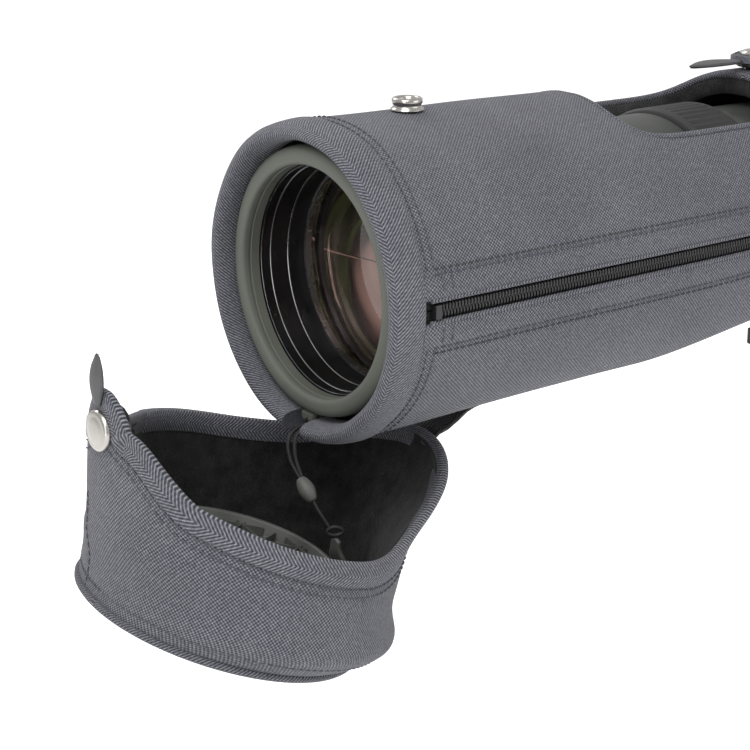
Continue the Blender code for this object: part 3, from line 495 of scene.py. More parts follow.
def shell(name, surface, us, rows_of_v, thickness, material, closed=False):
    """A padded panel: surface(u, v, proud) on a grid, its back a thickness behind, edges closed.

    us and the values in rows_of_v are metres on the fabric; rows_of_v[j] is a function of u.
    """
    bm = bmesh.new()
    span = us[1] - us[0]
    sides = []
    for proud in (0.0, -thickness):
        rows = [[surface(u, v(u), proud) for u in us] for v in rows_of_v]

        def uv(j, i):
            u = us[i] if i < len(us) else us[-1] + span
            return (u, rows_of_v[j](us[i % len(us)]))
        sides.append(add_grid(bm, rows, uv, closed))
    layer = bm.loops.layers.uv["weave"]
    outer, inner = sides
    rims = [list(zip(outer[j], inner[j])) for j in (0, -1)]
    if closed:
        rims = [rim + rim[:1] for rim in rims]
    else:
        rims += [[(a[i], b[i]) for a, b in zip(outer, inner)] for i in (0, -1)]
    for rim in rims:
        walk = 0.0
        for (a, b), (c, d) in zip(rim, rim[1:]):
            step = (c.co - a.co).length
            try:
                face = bm.faces.new((a, c, d, b))
            except ValueError:
                continue
            spots = ((walk, 0), (walk + step, 0), (walk + step, thickness), (walk, thickness))
            for loop, spot in zip(face.loops, spots):
                loop[layer].uv = spot
            walk += step
    return finish_object(name, bm, material)


def tube_rows(path, radius, sides, closed=False):
    """Rings round a path, turned as little as possible from one to the next."""
    rows = []
    count = len(path)
    normal = None
    for i, point in enumerate(path):
        ahead = path[(i + 1) % count] if closed or i + 1 < count else point
        behind = path[i - 1] if closed or i > 0 else point
        along = (ahead - behind).normalized()
        if normal is None:
            normal = along.orthogonal()
        normal = (normal - along * normal.dot(along)).normalized()
        across = along.cross(normal)
        r = radius(i / (count - 1)) if callable(radius) else radius
        rows.append([point + (normal * math.cos(2 * math.pi * k / sides)
                              + across * math.sin(2 * math.pi * k / sides)) * r
                     for k in range(sides)])
    return rows


def add_tube(bm, path, radius, sides=8, closed=False):
    rows = tube_rows(path, radius, sides, closed)
    lengths = [0.0]
    for a, b in zip(path, path[1:]):
        lengths.append(lengths[-1] + (b - a).length)
    lengths.append(lengths[-1])
    base = radius(0.5) if callable(radius) else radius
    if closed:
        rows.append(rows[0])
    grid = add_grid(bm, rows, lambda j, i: (lengths[min(j, len(lengths) - 1)],
                                            2 * math.pi * base * i / sides), closed=True)
    if not closed:
        bm.faces.new(grid[0])
        bm.faces.new(grid[-1])


def tube_object(name, path, radius, material, sides=8, closed=False):
    bm = bmesh.new()
    add_tube(bm, path, radius, sides, closed)
    return finish_object(name, bm, material)


def add_stitch(bm, a, b, radius, out):
    """One stitch: a short thread that dips into the cloth at both ends."""
    along = b - a
    path = [a.lerp(b, t) + out * (lift * radius)
            for t, lift in ((0, -0.9), (0.15, 0.3), (0.5, 0.75), (0.85, 0.3), (1, -0.9))]
    if along.length > 0:
        add_tube(bm, path, lambda t: radius * (0.55 + 0.45 * math.sin(math.pi * t)), 5)


def stitch_row(name, path, outs, material="thread", radius=0.32 * MM):
    """Stitches along a path of points; outs are the cloth's outward directions there."""
    bm = bmesh.new()
    for i in range(len(path) - 1):
        a, b = path[i], path[i + 1]
        add_stitch(bm, a.lerp(b, 0.1), a.lerp(b, 0.9), radius, outs[i])
    return finish_object(name, bm, LOOK[material], weld=False)


def resample(points, step):
    """The same line with points a step apart."""
    out = [points[0]]
    need = step
    for a, b in zip(points, points[1:]):
        length = (b - a).length
        done = 0.0
        while length - done >= need:
            done += need
            out.append(a.lerp(b, done / length))
            need = step
        need -= length - done
    return out


def seam_on(name, surface, line, body, material="thread", proud=0.1 * MM, joint=None):
    """Stitches along (u, v) positions on a surface."""
    fine = [Vector((u, v, 0)) for u, v in line]
    spots = resample(fine, STITCH)
    path = [surface(p.x, p.y, proud) for p in spots]
    outs = [(surface(p.x, p.y, 1 * MM) - surface(p.x, p.y, 0)).normalized() for p in spots]
    made = stitch_row(name, path, outs, material)
    if joint:
        joint(made)
    else:
        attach(made, body)
    return made


def lathe_object(name, profile, origin, direction, material, segments=64):
    """Turn (distance, radius) points about a direction through origin."""
    along = Vector(direction).normalized()
    side = Vector((0, 0, 1)) if abs(along.z) < 0.9 else Vector((1, 0, 0))
    side = (side - along * side.dot(along)).normalized()
    other = along.cross(side)
    rows = []
    for t, r in profile:
        rows.append([origin + along * t + (side * math.cos(2 * math.pi * k / segments)
                                           + other * math.sin(2 * math.pi * k / segments)) * r
                     for k in range(segments)])
    bm = bmesh.new()
    add_grid(bm, rows, lambda j, i: (i / segments, j * MM), closed=True)
    return finish_object(name, bm, material)


# ---- the sleeve ------------------------------------------------------------------------------
def rear_share(s):
    return min(1, max(0, (s - TAPER_START) / (SLEEVE_END - TAPER_START)))


def half_width(s):
    return mix(SLEEVE_R - SIDE_TAPER * min(s, TAPER_START), REAR_HALF_WIDTH, rear_share(s))


def top_height(s):
    return mix(max(SLEEVE_R - TOP_TAPER * s, BRIDGE_TOP), REAR_HALF_WIDTH, rear_share(s))


def belly_depth(s):
    front = SLEEVE_R - TOP_TAPER * s
    waisted = mix(front, BELLY, ease((s - 150 * MM) / (95 * MM)))
    return mix(waisted, REAR_DEPTH, rear_share(s))


def on_sleeve(s, angle, proud=0.0):
    turn = math.radians(angle)
    height = top_height(s) if math.cos(turn) > 0 else belly_depth(s)
    return at(s, -(half_width(s) + proud) * math.sin(turn), (height + proud) * math.cos(turn))


def sleeve_relief(u, s):
    """How the padding swells between the seams and dips along them."""
    angle = math.degrees(u / SLEEVE_R)
    from_zip = abs((angle - 90)) * math.radians(1) * SLEEVE_R
    lift = -0.55 * MM * bump_at(from_zip - 14 * MM, 1.3 * MM)
    lift += 0.45 * MM * bump_at(from_zip - 9 * MM, 3.5 * MM)
    lift -= 0.9 * MM * bump_at(from_zip - 4.2 * MM, 1.2 * MM)
    lift -= 0.6 * MM * bump_at(s - 10.5 * MM, 1.2 * MM)
    lift -= 0.5 * MM * bump_at(s - 7.6 * MM, 1.0 * MM)
    lift -= 0.7 * MM * (bump_at((angle + 90) * 1.07 * MM, 1.1 * MM)
                        + bump_at((angle - 270) * 1.07 * MM, 1.1 * MM))
    lift += 0.55 * MM * noise.noise(Vector((u * 34, s * 17, 1.7)))
    pucker = math.sin(s * 2 * math.pi / (5 * MM)) * bump_at(from_zip - 14 * MM, 3 * MM)
    return lift + 0.07 * MM * pucker


def sleeve_surface(u, s, proud):
    relief = sleeve_relief(u, s) if proud > -1 * MM else 0.0
    return on_sleeve(s, math.degrees(u / SLEEVE_R), proud + relief)


def arc_points(low, high, step):
    return between(low, high, max(1, round((high - low) / step)))


def opening_loop(grow, proud, count):
    middle = sum(OPENING_S) / 2
    half = (OPENING_S[1] - OPENING_S[0]) / 2 + grow
    spread = OPENING_HALF_ANGLE + math.degrees(grow / SLEEVE_R)
    loop = []
    for i in range(count):
        turn = 2 * math.pi * (i + 0.5) / count
        x = math.copysign(abs(math.cos(turn)) ** 0.4, math.cos(turn))
        y = math.copysign(abs(math.sin(turn)) ** 0.4, math.sin(turn))
        loop.append(on_sleeve(middle + half * x, spread * y, proud))
    return loop


def even_loop(points, count):
    """The same closed line with evenly spaced points."""
    closed = points + points[:1]
    total = sum((b - a).length for a, b in zip(closed, closed[1:]))
    return resample(closed, total / count)[:count]


def opening_cutter(grow):
    bm = bmesh.new()
    rings = [[bm.verts.new(p) for p in even_loop(opening_loop(grow, proud, 400), 120)]
             for proud in (-14 * MM, 12 * MM)]
    count = len(rings[0])
    for i in range(count):
        j = (i + 1) % count
        bm.faces.new((rings[0][i], rings[0][j], rings[1][j], rings[1][i]))
    for ring, proud in zip(rings, (-20 * MM, 20 * MM)):
        tip = bm.verts.new(on_sleeve(sum(OPENING_S) / 2, 0, proud))
        for i in range(count):
            bm.faces.new((ring[i], ring[(i + 1) % count], tip))
    return finish_object("cutter", bm, LOOK["fabric"])


def box_cutter(low, high):
    bm = bmesh.new()
    low, high = at(*low), at(*high)
    bmesh.ops.create_cube(bm, size=1, matrix=Matrix.Translation((low + high) / 2)
                          @ Matrix.Diagonal((*(high - low), 1)))
    bmesh.ops.bevel(bm, geom=bm.edges[:], offset=6 * MM, segments=4, affect="EDGES", profile=0.5)
    return finish_object("cutter", bm, LOOK["fabric"])


def cut_away(obj, cutter):
    """Cut, apply, and drop the cutter."""
    modifier = obj.modifiers.new("cut", "BOOLEAN")
    modifier.operation = "DIFFERENCE"
    modifier.object = cutter
    settle(obj)
    bpy.data.objects.remove(cutter, do_unlink=True)


def settle(obj):
    """Apply every modifier."""
    evaluated = obj.evaluated_get(bpy.context.evaluated_depsgraph_get())
    mesh = bpy.data.meshes.new_from_object(evaluated)
    obj.modifiers.clear()
    obj.data = mesh


ROOT = "case_and_scope"
ZIP_EDGE = 4.2
FOOT_SLOT = ((259 * MM, -19 * MM, -75 * MM), (311 * MM, 19 * MM, -40 * MM))


def build_sleeve():
    stations = [(lambda u, s=s: s) for s in arc_points(SLEEVE_FRONT, SLEEVE_END, 2.4 * MM)]
    for name, low, high in (("sleeve_upper", -89.6, 90 - ZIP_EDGE),
                            ("sleeve_lower", 90 + ZIP_EDGE, 269.6)):
        us = arc_points(math.radians(low) * SLEEVE_R, math.radians(high) * SLEEVE_R, 1.8 * MM)
        panel = shell(name, sleeve_surface, us, stations, FABRIC, LOOK["fabric"])
        if name == "sleeve_upper":
            cut_away(panel, opening_cutter(2.9 * MM))
        else:
            cut_away(panel, box_cutter(*FOOT_SLOT))
        place(panel, ROOT, "grey_fabric", name + "_panel", padded=0.3)
    build_sleeve_lining()
    build_sleeve_seams()
    build_front_hem()
    build_opening_hem()


def place(obj, body, slot, *nodes, padded=None):
    """Ride on a body and stand for CAD nodes; the slot is not used."""
    if body:
        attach(obj, body)
    if nodes:
        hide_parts(*nodes)
    return obj


def build_sleeve_lining():
    sunk = FABRIC + 2 * GAP
    stations = [(lambda u, s=s: s) for s in arc_points(SLEEVE_FRONT, SLEEVE_END - MM, 4 * MM)]

    def surface(u, s, proud):
        ripple = 0.25 * MM * noise.noise(Vector((u * 60, s * 60, 4.2)))
        return on_sleeve(s, math.degrees(u / SLEEVE_R), proud - sunk + ripple - 0.25 * MM)
    for name, low, high in (("lining_upper", -89, 77), ("lining_lower", 103, 269)):
        us = arc_points(math.radians(low) * SLEEVE_R, math.radians(high) * SLEEVE_R, 3.5 * MM)
        lining = shell(name + "_fleece", surface, us, stations, LINING - 0.3 * MM, LOOK["fleece"])
        if name == "lining_upper":
            cut_away(lining, opening_cutter(2.9 * MM))
        else:
            cut_away(lining, box_cutter(*FOOT_SLOT))
        place(lining, ROOT, "black_lining", name, padded=0.2)


def angle_u(angle):
    return math.radians(angle) * SLEEVE_R


def build_sleeve_seams():
    offset = math.degrees(14 * MM / SLEEVE_R)
    for side, angle in (("upper", 90 - offset), ("lower", 90 + offset)):
        line = [(angle_u(angle), s) for s in (13 * MM, SLEEVE_END - 4 * MM)]
        seam_on("zip_seam_" + side, sleeve_surface, line, ROOT)
        shift = math.degrees(1.9 * MM / SLEEVE_R) * (1 if side == "upper" else -1)
        line = [(angle_u(angle - shift), s) for s in (13 * MM, SLEEVE_END - 4 * MM)]
        seam_on("zip_edge_seam_" + side, sleeve_surface, line, ROOT, "dark_thread", 0.0)
    for name, s in (("front_seam_one", 10.6 * MM), ("front_seam_two", 13.4 * MM)):
        for side, low, high in (("upper", -89, 90 - offset), ("lower", 90 + offset, 265)):
            line = [(angle_u(a), s) for a in between(low, high, 60)]
            seam_on(name + "_" + side, sleeve_surface, line, ROOT)
    build_bar_tack()


def build_bar_tack():
    """The sewn box that ends the zip's two bands at the front."""
    for name, s in (("zip_tack_front", 16.5 * MM), ("zip_tack_rear", 21 * MM)):
        for side, low, high in (("upper", 77, 90 - ZIP_EDGE - 1), ("lower", 90 + ZIP_EDGE + 1, 103)):
            line = [(angle_u(a), s) for a in between(low, high, 20)]
            seam_on(name + "_" + side, sleeve_surface, line, ROOT)


def build_front_hem():
    """The rolled front edge, bias cut, with its own chevron, open at the bottom."""
    seam = SLEEVE_FRONT - GAP
    outer = SLEEVE_R
    profile = [(seam + 0.8 * MM, -0.5), (seam - 0.6 * MM, 0.55), (5.5 * MM, 0.75), (3 * MM, 0.7),
               (0.5 * MM, 0.45), (-2 * MM, -0.1), (-3.8 * MM, -1.0), (-5.0 * MM, -2.2),
               (-5.5 * MM, -3.6), (-5.1 * MM, -5.0), (-3.6 * MM, -6.3), (-1 * MM, -7.1),
               (3 * MM, -7.3), (seam, -7.3)]
    walk = [0.0]
    for a, b in zip(profile, profile[1:]):
        walk.append(walk[-1] + math.hypot(b[0] - a[0], (b[1] - a[1]) * MM))
    angles = between(SLIT_ANGLE + 6, SLIT_ANGLE + 354, 300)
    rows = []
    for s, proud in profile:
        row = []
        for a in angles:
            swell = 0.5 * MM * noise.noise(Vector((a * 0.045, s * 60, 8.1)))
            turn = math.radians(a)
            r = outer + proud * MM + swell
            row.append(at(s, -r * math.sin(turn), r * math.cos(turn)))
        rows.append(row)
    bm = bmesh.new()
    us = [math.radians(a) * outer for a in angles]
    grid = add_grid(bm, rows, lambda j, i: (us[i], walk[j]))
    for j in range(len(angles) - 1):
        bm.faces.new((grid[0][j], grid[-1][j], grid[-1][j + 1], grid[0][j + 1]))
    for column in (0, -1):
        bm.faces.new([row[column] for row in grid])
    hem = finish_object("front_hem_roll", bm, LOOK["front_hem"])
    place(hem, ROOT, "grey_fabric", "front_hem", padded=0.5)


def build_opening_hem():
    """The turned edge round the top opening, plain cloth with fleece showing behind it."""
    loop = even_loop(opening_loop(0.9 * MM, -1.45 * MM, 600), 220)
    hem = tube_object("opening_hem_roll", loop, 1.55 * MM, LOOK["fabric"], 12, closed=True)
    place(hem, ROOT, "grey_fabric", "opening_hem", padded=0.5)
    rows = [even_loop(opening_loop(grow * MM, proud * MM, 600), 160)
            for grow, proud in ((1.4, -2.2), (0.6, -4.6), (0.9, -7.5), (1.6, -9.6))]
    facing = grid_object("opening_facing", rows, LOOK["fleece"], closed=True)
    facing.modifiers.new("thickness", "SOLIDIFY").thickness = 0.8 * MM
    place(facing, ROOT, "black_lining", padded=0.2)


# ---- the zip ---------------------------------------------------------------------------------
def zip_point(s, h, depth):
    return at(s, -(half_width(s) + depth), h)


def build_zip():
    tape_in, tape_out = -(FABRIC + 2.0 * MM), -(FABRIC + 1.2 * MM)
    for side, sign in (("upper", 1), ("lower", -1)):
        heights = sorted((sign * 0.4 * MM, sign * 8 * MM))

        def tape(u, s, proud):
            return zip_point(s, u, tape_out + proud)
        us = between(heights[0], heights[1], 6)
        rows = [(lambda u, s=s: s) for s in between(10 * MM, ZIP_END - 0.5 * MM, 60)]
        made = shell("zip_tape_cloth_" + side, tape, us, rows, tape_out - tape_in, LOOK["tape"])
        place(made, ROOT, "black_webbing", "zip_tape_" + side)
        build_teeth(side, sign)
        build_folded_edge(side, sign)


def build_teeth(side, sign):
    """The coil: one rounded loop after another, the two sides interleaved."""
    pitch = 1.5 * MM
    count = int((ZIP_END - 4 * MM - ZIP_START) / pitch) - 1
    bm = bmesh.new()
    depth = -1.9 * MM
    for i in range(count):
        s = ZIP_START + (i + (0.75 if sign > 0 else 0.25)) * pitch
        path = []
        for h, out in ((2.6, -0.9), (2.4, 0.2), (1.7, 0.75), (0.7, 0.85), (-0.1, 0.55), (-0.35, -0.3)):
            path.append(zip_point(s + 0.18 * h * MM, sign * h * MM, depth + out * MM))
        add_tube(bm, path, 0.42 * MM, 6)
    made = finish_object("zip_coil_teeth_" + side, bm, LOOK["coil"], weld=False)
    place(made, ROOT, "zip_coil", "zip_coil_" + side)


def build_folded_edge(side, sign):
    """The sleeve's cloth folds inwards beside the teeth."""
    angle = 90 - sign * ZIP_EDGE
    bm = bmesh.new()
    rows = []
    steps = between(ZIP_START - 4 * MM, SLEEVE_END - 2 * MM, 130)
    for s in steps:
        edge = on_sleeve(s, angle, -1.25 * MM)
        row = []
        for k in range(10):
            turn = 2 * math.pi * k / 10
            row.append(edge + Vector((0, -1.25 * MM * math.cos(turn),
                                      1.05 * MM * math.sin(turn) - sign * 0.1 * MM)))
        rows.append(row)
    grid = add_grid(bm, rows, lambda j, i: (steps[j], i * 0.8 * MM), closed=True)
    bm.faces.new(grid[0])
    bm.faces.new(grid[-1])
    made = finish_object("zip_fold_" + side, bm, LOOK["hem"])
    place(made, ROOT, "grey_fabric", padded=0.4)


# ---- the front cover -------------------------------------------------------------------------
def mouth_s(angle):
    turn = math.radians(angle)
    sides = 33 * MM - 12 * MM * math.sin(turn) + 9 * MM * max(0, math.cos(turn)) ** 4
    return mix(sides, 62 * MM, max(0, -math.cos(turn)) ** 2.6)


TONGUE_TIP = 61 * MM


def signed(angle):
    return (angle + 180) % 360 - 180


def edge_s(angle):
    """The mouth edge with the tongue: how far back the cloth reaches at an angle."""
    a = abs(signed(angle))
    side = mouth_s(angle)
    if a > 50:
        return side
    tip = mix(TONGUE_TIP, 49 * MM, (a / 13) ** 2.2) if a < 13 else 49 * MM
    neck = mix(tip, side, ease((a - 11) / 27))
    return neck if a > 11 else tip


def sag(angle, s):
    """How far the soft wall draws in where it hangs empty and beside the tongue."""
    turn = angle % 360
    along = ease((s + 24 * MM) / (26 * MM)) * (1 - ease((s - 20 * MM) / (40 * MM)))
    empty = COVER_SLUMP * bump_at(turn - 150, 55) * (0.3 + 0.7 * along)
    empty *= 1 - ease((s - 20 * MM) / (42 * MM))
    tuck = COVER_TUCK * bump_at(turn - 318, 22) * ease((s + 12 * MM) / (30 * MM))
    return empty + tuck


def base_edge(angle):
    """The end panel's edge: its s, y and h."""
    turn = math.radians(angle)
    radius = COVER_BASE_R - sag(angle, COVER_BASE_S)
    y = COVER_BASE_Y - radius * math.sin(turn)
    return COVER_BASE_S + y * COVER_SKEW, y, COVER_BASE_H + radius * math.cos(turn)


def closed_cover(u, s, proud):
    """The closed cover's surface, u metres round from the top towards -Y and s rearwards."""
    angle = math.degrees(u / COVER_HALF_WIDTH)
    turn = math.radians(angle)
    down = max(0, -math.cos(turn))
    up = max(0, math.cos(turn))
    base_s, base_y, base_h = base_edge(angle)
    rise = up * ease((s + 8 * MM) / (18 * MM))
    height = mix(mix(65.4 * MM, 71.2 * MM, rise), 66.4 * MM, down)
    flare = 1 - (1 - min(1, max(0, (s - base_s) / (13 * MM)))) ** 2
    drawn = sag(angle, s)
    y = mix(base_y, (drawn - COVER_HALF_WIDTH) * math.sin(turn), flare)
    h = mix(base_h, (height - drawn) * math.cos(turn), flare)
    lean = (1 - ease((abs(signed(angle)) - 24) / 30)) * max(0, s - TONGUE_HINGE[0])
    h += 0.27 * lean
    y += 0.06 * lean * math.sin(turn)
    return at(s, y - proud * math.sin(turn), h + proud * math.cos(turn))


def base_start(u):
    return base_edge(math.degrees(u / COVER_HALF_WIDTH))[0]


def cover_relief(u, s):
    angle = math.degrees(u / COVER_HALF_WIDTH)
    edge = edge_s(angle)
    base = base_start(u)
    lift = -0.5 * MM * bump_at(s - base - 4.5 * MM, 1.4 * MM)
    lift += 0.4 * MM * bump_at(s - base - 1.5 * MM, 1.5 * MM)
    lift -= 0.5 * MM * bump_at((signed(angle) + 14) * 1.15 * MM, 1.0 * MM) * (s < 20 * MM)
    lift += 0.9 * MM * noise.noise(Vector((u * 22, s * 26, 5.3)))
    middle = (s - base) / max(1e-6, edge - base)
    return lift + 0.9 * MM * math.sin(math.pi * min(1, max(0, middle)))


def cover_surface(u, s, proud):
    relief = cover_relief(u, s) if proud > -1 * MM else 0.0
    return OPENED @ closed_cover(u, s, proud + relief)


def edge_line(inward, count=720):
    """(u, s) positions a distance inside the mouth edge, all the way round."""
    raw = []
    for i in range(count):
        angle = 360 * i / count - 180
        raw.append(Vector((math.radians(angle) * COVER_HALF_WIDTH, edge_s(angle))))
    line = []
    for i, point in enumerate(raw):
        ahead = raw[i + 1] if i + 1 < count else raw[-1]
        behind = raw[i - 1] if i else raw[0]
        along = (ahead - behind).normalized()
        inside = Vector((along.y, -along.x))
        line.append(point + inside * inward)
    return line


def bend_tongue(obj):
    """Bake the piece's transform into its mesh."""
    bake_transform(obj)


def build_cover():
    half = math.pi * COVER_HALF_WIDTH
    count = 240
    us = [-half + 2 * half * i / count for i in range(count)]
    shares = [i / 26 for i in range(27)]

    def row(share, inset):
        def v(u):
            edge = edge_s(math.degrees(u / COVER_HALF_WIDTH)) - inset
            return mix(base_start(u) + 0.4 * MM, edge, share)
        return v
    wall = shell("cover_cloth", cover_surface, us, [row(x, 1.2 * MM) for x in shares], FABRIC,
                 LOOK["fabric"], closed=True)
    place(wall, None, "grey_fabric", "cover_wall", "tongue_flap", padded=0.4)
    bend_tongue(wall)
    build_cover_lining(us, row)
    build_cover_hem()
    build_cover_end()
    build_cover_seams()


def build_cover_lining(us, row):
    """Black fleece inside the cover, up to the hem and over its bottom."""
    sunk = FABRIC + 0.5 * MM

    def surface(u, s, proud):
        ripple = 0.5 * MM * noise.noise(Vector((u * 40, s * 40, 2.2)))
        return OPENED @ closed_cover(u, s, proud - sunk + ripple)
    shares = [0.10 + 0.9 * i / 20 for i in range(21)]
    side = shell("cover_side_fleece", surface, us, [row(x, 3 * MM) for x in shares], 0.6 * MM,
                 LOOK["fleece"], closed=True)
    place(side, None, "black_lining", padded=0.2)
    bend_tongue(side)
    rows = []
    for share in (0.97, 0.8, 0.6, 0.4, 0.2, 0.03):
        ring = []
        for i in range(60):
            ring.append(OPENED @ end_point(6 * i, share, 4 * MM * (1 - share ** 2) - 2.2 * MM))
        rows.append(ring)
    floor = grid_object("cover_floor_fleece", rows, LOOK["fleece"], closed=True)
    floor.modifiers.new("thickness", "SOLIDIFY").thickness = 0.5 * MM
    place(floor, "objective_cover", "black_lining", "cover_lining", padded=0.2)


HEM_PROFILE = ((9.6, -0.2), (9.3, 0.75), (7.2, 1.15), (4.5, 1.25), (2.2, 1.0), (0.7, 0.3),
               (0.0, -1.2), (0.5, -2.7), (2.0, -3.5), (4.5, -3.8), (7.5, -3.7), (8.8, -3.4))
HEM_STEP_ANGLE = -62                # where the far hem's ends overlap


def build_cover_hem():
    """The bias hem folded over the mouth and round the tongue in one line."""
    lines = {}
    for inward, lift in HEM_PROFILE:
        lines[(inward, lift)] = edge_line(inward * MM)
    rows = []
    for (inward, lift), line in lines.items():
        row = []
        for i, (u, s) in enumerate(line):
            angle = math.degrees(u / COVER_HALF_WIDTH)
            thick = 1.0 + 0.35 * ease((HEM_STEP_ANGLE - angle) / 2) * ease((angle + 150) / 40)
            swell = 0.35 * MM * noise.noise(Vector((u * 70, inward * 0.1, 3.3)))
            middle = -1.2
            proud = (middle + (lift - middle) * thick) * MM + swell
            row.append(OPENED @ closed_cover(u, s, proud + cover_relief(u, s) * 0.6))
        rows.append(row)
    rows.append(rows[0])
    step = 2 * math.pi * COVER_HALF_WIDTH / len(rows[0])
    walk = edge_line(0)
    along = [0.0]
    for a, b in zip(walk, walk[1:]):
        along.append(along[-1] + (b - a).length)
    along.append(along[-1] + step)
    depth = [abs(inward - 0.3) * MM for inward, lift in HEM_PROFILE] + [9.3 * MM]
    bm = bmesh.new()
    add_grid(bm, rows, lambda j, i: (along[i], depth[j]), closed=True)
    hem = finish_object("cover_hem_band", bm, LOOK["hem"])
    place(hem, None, "grey_fabric", "cover_hem", padded=0.5)
    bend_tongue(hem)


def end_point(angle, share, ahead):
    """A point of the closed cover's end panel, a share of the way out from its centre."""
    s, y, h = base_edge(angle)
    s = mix(COVER_BASE_S + COVER_BASE_Y * COVER_SKEW, s, share) - ahead
    return at(s, mix(COVER_BASE_Y, y, share), mix(COVER_BASE_H, h, share))


def build_cover_end():
    """The cover's end panel, crowned, with a corded seam round it."""
    rows = []
    shares = (1.0, 0.985, 0.95, 0.88, 0.76, 0.6, 0.42, 0.22, 0.02)
    for back in (False, True):
        for share in (shares if not back else shares[::-1]):
            ring = []
            for i in range(96):
                angle = 3.75 * i
                swell = 0.6 * MM * noise.noise(Vector((angle / 45, share * 3, 9.4)))
                crown = 2 * MM + 4 * MM * (1 - share ** 2) + swell * (1 - share)
                crown -= 2.0 * MM * share ** 30
                ring.append(OPENED @ end_point(angle, share, crown - (FABRIC if back else 0)))
            rows.append(ring)
    bm = bmesh.new()

    def uv(j, i):
        turn = 2 * math.pi * i / 96
        share = (shares + shares[::-1])[j]
        return (COVER_BASE_R * share * math.sin(turn), COVER_BASE_R * share * math.cos(turn))
    grid = add_grid(bm, rows, uv, closed=True)
    bm.faces.new(grid[0])
    bm.faces.new(grid[-1])
    end = finish_object("cover_end_cloth", bm, LOOK["fabric"])
    place(end, "objective_cover", "grey_fabric", "cover_end_panel", padded=0.4)
    path = []
    for i in range(160):
        path.append(OPENED @ end_point(2.25 * i, 1.012, 0.4 * MM))
    piping = tube_object("cover_end_seam", path, 1.5 * MM, LOOK["bead_hem"], 10, closed=True)
    place(piping, "objective_cover", "grey_fabric", padded=0.5)


def build_cover_seams():
    for name, inward in (("cover_hem_seam_one", 10.4 * MM), ("cover_hem_seam_two", 13.4 * MM)):
        line = [(p.x, p.y) for p in edge_line(inward)]
        seam_on(name, cover_surface, line, "objective_cover", joint=bend_tongue)
    line = [(math.radians(-12.5) * COVER_HALF_WIDTH, s) for s in (-15 * MM, 22 * MM)]
    seam_on("cover_side_seam", cover_surface, line, "objective_cover")
    line = []
    for i in range(121):
        u = 2 * math.pi * COVER_HALF_WIDTH * i / 120
        line.append((u, base_start(u) + 5 * MM))
    seam_on("cover_base_seam", cover_surface, line, "objective_cover")


# ---- strap, cord and lens cap ----------------------------------------------------------------
def row_matrix(origin, along, side):
    """A frame at origin with its X along one direction and Y near another."""
    x = Vector(along).normalized()
    z = x.cross(Vector(side)).normalized()
    y = z.cross(x)
    return Matrix.Translation(origin) @ Matrix((x, y, z)).transposed().to_4x4()


def build_strap():
    """The webbing from the cover's lip up to the sleeve's belly."""
    route = [(54.6, -75.6), (55.2, -73.8), (56.3, -71.7), (58.8, -70.1), (63, -69.1),
             (68, -66.6), (73, -63.6), (77, -62.3), (81, -61.7)]
    points = [at(s * MM, 0, h * MM) for s, h in route]
    rows = []
    for point in points:
        rows.append([point + Vector((0, y * MM, 0.4 * MM * math.cos(y / 4)))
                     for y in between(*STRAP_SIDES, 12)])
    strap = grid_object("hinge_strap_webbing", rows, LOOK["strap"],
                        uvs=lambda j, i: (j * 2.6 * MM, i * 1.8 * MM))
    solid = strap.modifiers.new("thickness", "SOLIDIFY")
    solid.thickness = STRAP_THICKNESS
    solid.offset = 0
    settle(strap)
    place(strap, None, "black_webbing", "hinge_strap")
    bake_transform(strap)


CORD_TOP = [(4.6, 6.4, -57.9), (1.4, 7.3, -58.9), (-2.2, 7.6, -60.4), (-4.6, 7.3, -63.0),
            (-5.6, 6.6, -66.8), (-5.4, 5.2, -71.2), (-4.6, 2.8, -75.2), (-4.1, 1.3, -77.2)]
BEAD = ((-4.0, 0.7, -77.8), (-3.0, -6.2, -85.0))
CORD_BOTTOM = [(-2.9, -6.6, -85.6), (-2.0, -8.2, -88.6), (-0.4, -10.0, -92.4), (1.2, -11.6, -96.0)]


def smooth_route(points, step):
    """Points every step or so along a Catmull-Rom curve."""
    padded = [points[0] * 2 - points[1], *points, points[-1] * 2 - points[-2]]
    route = [points[0]]
    for a, b, c, d in zip(padded, padded[1:], padded[2:], padded[3:]):
        pieces = max(1, round((c - b).length / step))
        for i in range(1, pieces + 1):
            t = i / pieces
            route.append(0.5 * (2 * b + (c - a) * t + (2 * a - 5 * b + 4 * c - d) * t * t
                                + (3 * b - a - 3 * c + d) * t * t * t))
    return route


